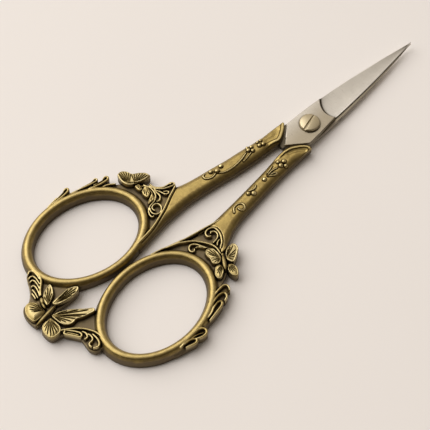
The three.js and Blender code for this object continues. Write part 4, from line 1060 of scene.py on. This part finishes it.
BLADE_LENGTH = 38
HALF_WIDTH = 3.95
EDGE_SHARE = 0.82  # the cutting side's distance from the middle line over the spine's
EDGE_START = 6.3
BLADE_THICK = 1.1
BLADE_LEAN = 1.2  # degrees
BLADE_BEVEL = 0.14
SPINE_HEIGHT = (0.86, 0.36)  # at the pivot, and how much is lost by the tip
EDGE_HEIGHT = (0.2, 0.02)
HOLLOW_DEPTH = 0.13
STEP_START = 5.15  # where the curved step crosses the blade, how it curves and its width
STEP_CURVE = 0.125
STEP_WIDTH = 0.5
TANG_WIDTHS = ((-0.6, 1.1), (6.5, 0.88))
TANG_THICK = 0.6
TANG_TURN = 12.7  # degrees
NUT_TOP = 0.45
NUT_RADIUS = 2.6
BLADE_GAP = 0.2
SCREW_RADIUS = 1.5
BORE_RADIUS = SCREW_RADIUS + 0.08
HEAD_RADIUS = 2.6
HEAD_RIM = 0.35
HEAD_DOME = 0.62
SLOT_HALF = 0.29
SLOT_TURN = 16  # degrees
# Painted shade on the blades: how far it reaches from the handles, and how strong it is on the inner faces
# and at the back blade's heel
SHADE_REACH = 0.8
INNER_FACE_SHADE = 0.3
BACK_HEEL_SHADE = 0.85
FRONT_HEEL = {"spine": (-4.4, 3.95), "rear": (-9.1, -0.36), "edge": (-4.1, -4.23), "blunt": (0, -3.87)}
BACK_HEEL = {"spine": (-4.4, 3.95), "rear": (-9.6, -1.1), "edge": (-4.4, -4.65), "blunt": (0, -3.87)}


def spine_y(x):
    return HALF_WIDTH * (1 - np.clip(x / BLADE_LENGTH, 0, 1) ** 1.6)


def blade_sides(x, heel):
    """The blade's outline at x: its cutting side and its spine side."""
    rear, spine, edge, blunt = heel["rear"], heel["spine"], heel["edge"], heel["blunt"]
    top = np.where(x < spine[0], np.interp(x, [rear[0], spine[0]], [rear[1], spine[1]]), spine_y(x))
    low = np.interp(x, [rear[0], edge[0], blunt[0], EDGE_START],
                    [rear[1], edge[1], blunt[1], -EDGE_SHARE * spine_y(EDGE_START)])
    low = np.where(x < EDGE_START, low, -EDGE_SHARE * spine_y(x))
    blunt_tip = 0.1 * (x > 30)
    return np.minimum(low, -blunt_tip), np.maximum(top, blunt_tip)


def past_step(x, y):
    """How far beyond the curved step that ends the flat round the pivot."""
    return np.maximum(x - STEP_START - STEP_CURVE * (y + 0.5) ** 2, 0)


def blade_height(x, y, low, top):
    """The outer face of a blade: flat at the pivot, hollow ground beyond the curved step."""
    across = np.clip((y - low) / np.maximum(top - low, 1e-6), 0, 1)
    share = np.clip(x / BLADE_LENGTH, 0, 1)
    spine, edge = (height - loss * share for height, loss in (SPINE_HEIGHT, EDGE_HEIGHT))
    past = past_step(x, y)
    hollow = edge + (spine - edge) * across
    hollow = hollow - HOLLOW_DEPTH * np.sin(np.pi * across ** 0.85) * (1 - 0.6 * share)
    hollow = hollow - HOLLOW_DEPTH * np.exp(-past / 1.5) * np.clip(4 * across * (1 - across), 0, 1)
    t = np.clip(past / STEP_WIDTH, 0, 1)
    blend = t * t * (3 - 2 * t)
    return BLADE_THICK * (1 - blend) + hollow * blend


def blade_mesh(name, heel):
    """A blade as a row of cross-sections, closest together where the step is."""
    stations = np.concatenate([
        np.linspace(heel["rear"][0], -4.4, 24), np.linspace(-4.2, 4.8, 60), np.linspace(4.9, 8, 44),
        np.linspace(8.4, 36.5, 70), np.linspace(36.8, BLADE_LENGTH, 8)])
    rows = np.array([0, 0.02, 0.05, *np.linspace(0.08, 0.92, 43), 0.95, 0.98, 1])
    points, width = [], len(rows) * 2
    for x in stations:
        low, top = (float(v) for v in blade_sides(np.array(x), heel))
        y = low + (top - low) * rows
        inset = np.minimum(np.minimum(y - low, top - y) / BLADE_BEVEL, 1)
        z = blade_height(x, y, low, top) - BLADE_BEVEL * (1 - inset) ** 2
        points.append(np.stack([0 * y + x, y, np.maximum(z, 0.06)], 1))
        points.append(np.stack([0 * y + x, y, 0 * y], 1)[::-1])
    faces = []
    for i in range(len(stations) - 1):
        for k in range(width):
            a, b = i * width + k, i * width + (k + 1) % width
            faces.append((a, b, b + width, a + width))
    last = (len(stations) - 1) * width
    for a in range(len(rows) - 1):
        b, c, d = a + 1, width - 2 - a, width - 1 - a
        faces.append((a, d, c, b))
        faces.append((last + a, last + b, last + c, last + d))
    return mesh_object(name, np.vstack(points), faces)


def tang_mesh(name, heel):
    """A tapering bar that runs back from the middle of the heel into the handle."""
    turn = math.radians(TANG_TURN)
    middle = np.array([(heel["rear"][k] + heel["edge"][k]) / 2 for k in range(2)])
    along = -np.array([math.cos(turn), math.sin(turn)])
    across = np.array([-along[1], along[0]])
    ring = []
    for reach, half in TANG_WIDTHS:
        for side, z in ((-1, 0), (1, 0), (1, TANG_THICK), (-1, TANG_THICK)):
            ring.append((*(middle + along * reach + across * half * side), z))
    faces = [(0, 1, 5, 4), (1, 2, 6, 5), (2, 3, 7, 6), (3, 0, 4, 7), (3, 2, 1, 0), (4, 5, 6, 7)]
    return mesh_object(name, np.array(ring), faces, smooth_shading=False)


def cylinder(radius, low, high, sides=64):
    a = np.arange(sides) * 2 * math.pi / sides
    circle = np.stack([radius * np.cos(a), radius * np.sin(a)], 1)
    points = np.vstack([np.c_[circle, np.full(sides, low)], np.c_[circle, np.full(sides, high)]])
    mesh = bpy.data.meshes.new("cutter")
    faces = [(k, (k + 1) % sides, (k + 1) % sides + sides, k + sides) for k in range(sides)]
    faces += [tuple(range(sides))[::-1], tuple(range(sides, 2 * sides))]
    mesh.from_pydata([tuple(p * MM) for p in points], [], faces)
    return linked("cutter", mesh)


def combine(obj, tool, operation):
    change = obj.modifiers.new("combine", "BOOLEAN")
    change.operation = operation
    change.solver = "EXACT"
    change.object = tool
    bpy.context.view_layer.objects.active = obj
    bpy.ops.object.modifier_apply(modifier=change.name)
    bpy.data.objects.remove(tool, do_unlink=True)


def blade(name, heel, place, handles, heel_shade):
    """A blade with its tang and bore, with painted shade at its step, round the screw's head, on its inner
    face, at the back blade's heel and by the handles.
    """
    obj = blade_mesh(name, heel)
    combine(obj, tang_mesh("tang", heel), "UNION")
    combine(obj, cylinder(BORE_RADIUS, -1, 3), "DIFFERENCE")
    p = corners(obj)
    outer = p[:, 2] > 0.05
    past = past_step(p[:, 0], p[:, 1])
    # Painted highlight: the outer face takes the lighter hollow-ground tone towards the spine
    spine_highlight = 0.6 * np.clip((p[:, 1] + 1.5) / 5.5, 0, 1) ** 1.5
    add_value(obj, "hollow", np.maximum(np.clip(past / 0.3, 0, 1), spine_highlight) * outer)
    round_head = np.abs(np.hypot(p[:, 0], p[:, 1]) - HEAD_RADIUS - 0.05)
    # Painted shade: along the curved step, round the screw's head, on the inner face and at the back blade's
    # heel
    step_shadow = 1.2 * np.exp(-(np.maximum(past - 0.3, 0) / 0.45) ** 2) + 0.5 * np.exp(-past / 1.5)
    shade_marks = np.where(outer, np.clip(step_shadow, 0, 1) * (past > 0.03), INNER_FACE_SHADE)
    shade_marks = np.maximum(shade_marks, 0.8 * outer * np.exp(-(round_head / 0.22) ** 2))
    shade_marks = np.maximum(shade_marks, heel_shade * np.clip((-3.2 - p[:, 0]) / 0.8, 0, 1))
    obj.data.transform(place)
    p = corners(obj) - (0, MIDDLE, 0)
    # Painted shade near the handles, joined to the rest
    near = np.min([grid.at(p) for grid in handles], axis=0)
    add_value(obj, "painted_shade", np.maximum(shade_marks, np.clip(1 - near / SHADE_REACH, 0, 1)))
    for polygon in obj.data.polygons:
        polygon.use_smooth = True
    obj.data.set_sharp_from_angle(angle=math.radians(28))
    return obj


# Screw and nut


def screw_grid():
    """A shaft and a domed head with a slot."""
    grid = Grid((-3.3, -3.3, -0.4), (3.3, 3.3, 4.3), SMALL_STEP)
    spans, x, y = grid.window((-3.3, -3.3), (3.3, 3.3))
    r = np.hypot(x, y)[..., None]
    z = grid.z
    head_low = NUT_TOP + 2 * BLADE_THICK + BLADE_GAP
    rim = head_low + HEAD_RIM
    shaft = np.maximum(r - SCREW_RADIUS, np.maximum(-z, z - head_low - 0.2))
    dome = z - rim - HEAD_DOME * np.sqrt(np.clip(1 - (r / (HEAD_RADIUS + 0.35)) ** 2, 0, 1))
    head = blend_max(blend_max(r - HEAD_RADIUS, dome, 0.3), head_low - z, 0.04)
    grid.join(spans, shaft, 0.02)
    grid.join(spans, head, 0.02)
    turn = math.radians(SLOT_TURN)
    across = np.abs(-x * math.sin(turn) + y * math.cos(turn))[..., None]
    grid.cut(spans, np.maximum(across - SLOT_HALF, rim + 0.08 - z))
    return grid


def nut_grid():
    """A thin ring with two notches for a spanner."""
    grid = Grid((-3.1, -3.1, -0.3), (3.1, 3.1, 0.9), SMALL_STEP)
    spans, x, y = grid.window((-3.1, -3.1), (3.1, 3.1))
    r = np.hypot(x, y)[..., None]
    z = grid.z
    d = np.maximum(np.maximum(r - NUT_RADIUS, BORE_RADIUS - r), np.maximum(-z, z - NUT_TOP))
    grid.join(spans, d, 0.05)
    x, y = x[..., None], y[..., None]
    notch = np.maximum(np.abs(y) - 0.4, np.maximum(1.8 - np.abs(x), z - 0.22))
    grid.cut(spans, notch, 0.05)
    return grid


# Everything in place

dark_bronze = bronze("antique_bronze", (0.395, 0.292, 0.102), (0.8, 0.675, 0.36))
wing_bronze = bronze("rubbed_bronze", (0.35, 0.268, 0.104), (0.74, 0.63, 0.36))
blade_steel = steel("satin_steel", (0.42, 0.365, 0.275), (0.81, 0.775, 0.715), 84, 0.3)
screw_steel = steel("screw_steel", (0.5, 0.425, 0.28), (0.5, 0.425, 0.28), 27, 0.36)


def dress(obj, look, body, node):
    """Gives a piece its material and its place in the part."""
    obj.data.materials.clear()
    obj.data.materials.append(look)
    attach(obj, body)
    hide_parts(node)


handles = []
for word, form, bow, tail, body in (
        ("left", LEFT, LEFT_BOW, LEFT_TAIL, "left_half"),
        ("right", RIGHT, RIGHT_BOW, RIGHT_TAIL, "right_half")):
    handle = handle_grid(form, (bow, tail))
    handles.append(handle)
    wings = {"bow": wing_grid(bow), "tail": wing_grid(tail)}
    casting = placed(cast_object(f"{word}_casting", handle, wings.values(), form["side"]))
    dress(casting, dark_bronze, body, f"{word}_handle")
    for place, grid in wings.items():
        piece = placed(cast_object(f"{word}_{place}_wings", grid, [handle]))
        dress(piece, wing_bronze, body, f"{word}_{place}_butterfly")

lean = Matrix.Rotation(math.radians(BLADE_LEAN), 4, "Z")
back_level = (NUT_TOP + BLADE_THICK) * MM
front_level = back_level + BLADE_GAP * MM
front = blade("upper_blade", FRONT_HEEL, Matrix.Translation((0, 0, front_level)) @ lean, handles, 0)
dress(front, blade_steel, "right_half", "front_blade")
under = Matrix.Rotation(math.pi, 4, "X")
back = blade("lower_blade", BACK_HEEL, Matrix.Translation((0, 0, back_level)) @ lean @ under, handles,
             BACK_HEEL_SHADE)
dress(back, blade_steel, "left_half", "back_blade")

screw = cast_object("screw", screw_grid())
dress(screw, screw_steel, "left_half", "pivot_screw")
nut = cast_object("nut", nut_grid())
dress(nut, screw_steel, "left_half", "pivot_nut")


# Floor, light and camera

TARGET = Vector((-35.95, -3.81, 3.2)) * MM
ELEVATION = math.radians(58.56)
DISTANCE = 0.3474
FIELD = 17.0  # degrees
SENSOR = 36  # millimetres
CAMERA_SIDE = Vector((-0.6786, -0.7345))
FLOOR_TONE = (0.865, 0.82, 0.785)
FLOOR_SHADE = 0.985  # how dark its faint clouds are
KEY_PLACE = (-0.40, 0.76, 0.92)
KEY_SIZE = (1.8, 1.5)
KEY_POWER = 19.2
KEY_TINT = (1.0, 0.99, 0.985)
SKY_BRIGHT_SIDE = (0.45, 0.75, 0.48)
SKY_DARK = (0.14, 0.115, 0.085)
SKY_BRIGHT = (0.97, 0.89, 0.79)
SKY_STRENGTH = 0.78


def floor():
    bpy.ops.mesh.primitive_plane_add(size=4)
    plane = bpy.context.object
    plane.name = "floor"
    m, shader, n = material("paper")
    cloud = n.noise(n.millimetres(), 0.01, 3)
    colour = n.ramp(cloud, [(0.3, [c * FLOOR_SHADE for c in FLOOR_TONE]), (0.7, FLOOR_TONE)])
    n.put(shader.inputs["Base Color"], colour)
    shader.inputs["Roughness"].default_value = 0.85
    shader.inputs["Specular IOR Level"].default_value = 0.2
    plane.data.materials.append(m)


def key_light():
    data = bpy.data.lights.new("key", "AREA")
    data.shape = "RECTANGLE"
    data.size, data.size_y = KEY_SIZE
    data.energy = KEY_POWER
    data.color = KEY_TINT
    obj = linked("key", data)
    obj.location = KEY_PLACE
    obj.rotation_euler = (TARGET - Vector(KEY_PLACE)).to_track_quat("-Z", "Y").to_euler()


def studio():
    """Soft light from all round, brightest from one side."""
    world = bpy.data.worlds.new("studio")
    bpy.context.scene.world = world
    world.use_nodes = True
    n = Nodes(world.node_tree)
    where = n.add("ShaderNodeTexCoord").outputs["Generated"]
    away = n.add("ShaderNodeVectorMath", {"operation": "DOT_PRODUCT"}, Vector=where)
    away.inputs[1].default_value = SKY_BRIGHT_SIDE
    back = world.node_tree.nodes["Background"]
    n.put(back.inputs["Color"], n.ramp(away.outputs["Value"], [(0.0, SKY_DARK), (0.95, SKY_BRIGHT)]))
    back.inputs["Strength"].default_value = SKY_STRENGTH


def camera():
    data = bpy.data.cameras.new("camera")
    data.sensor_width = SENSOR
    data.lens = SENSOR / 2 / math.tan(math.radians(FIELD / 2))
    data.clip_start, data.clip_end = 0.01, 10
    obj = linked("camera", data)
    side = CAMERA_SIDE.normalized() * math.cos(ELEVATION)
    back = Vector((side.x, side.y, math.sin(ELEVATION)))
    obj.location = TARGET + back * DISTANCE
    obj.rotation_mode = "QUATERNION"
    obj.rotation_quaternion = (-back).to_track_quat("-Z", "Y")
    bpy.context.scene.camera = obj


floor()
key_light()
studio()
camera()
bpy.context.scene.view_settings.view_transform = "Standard"
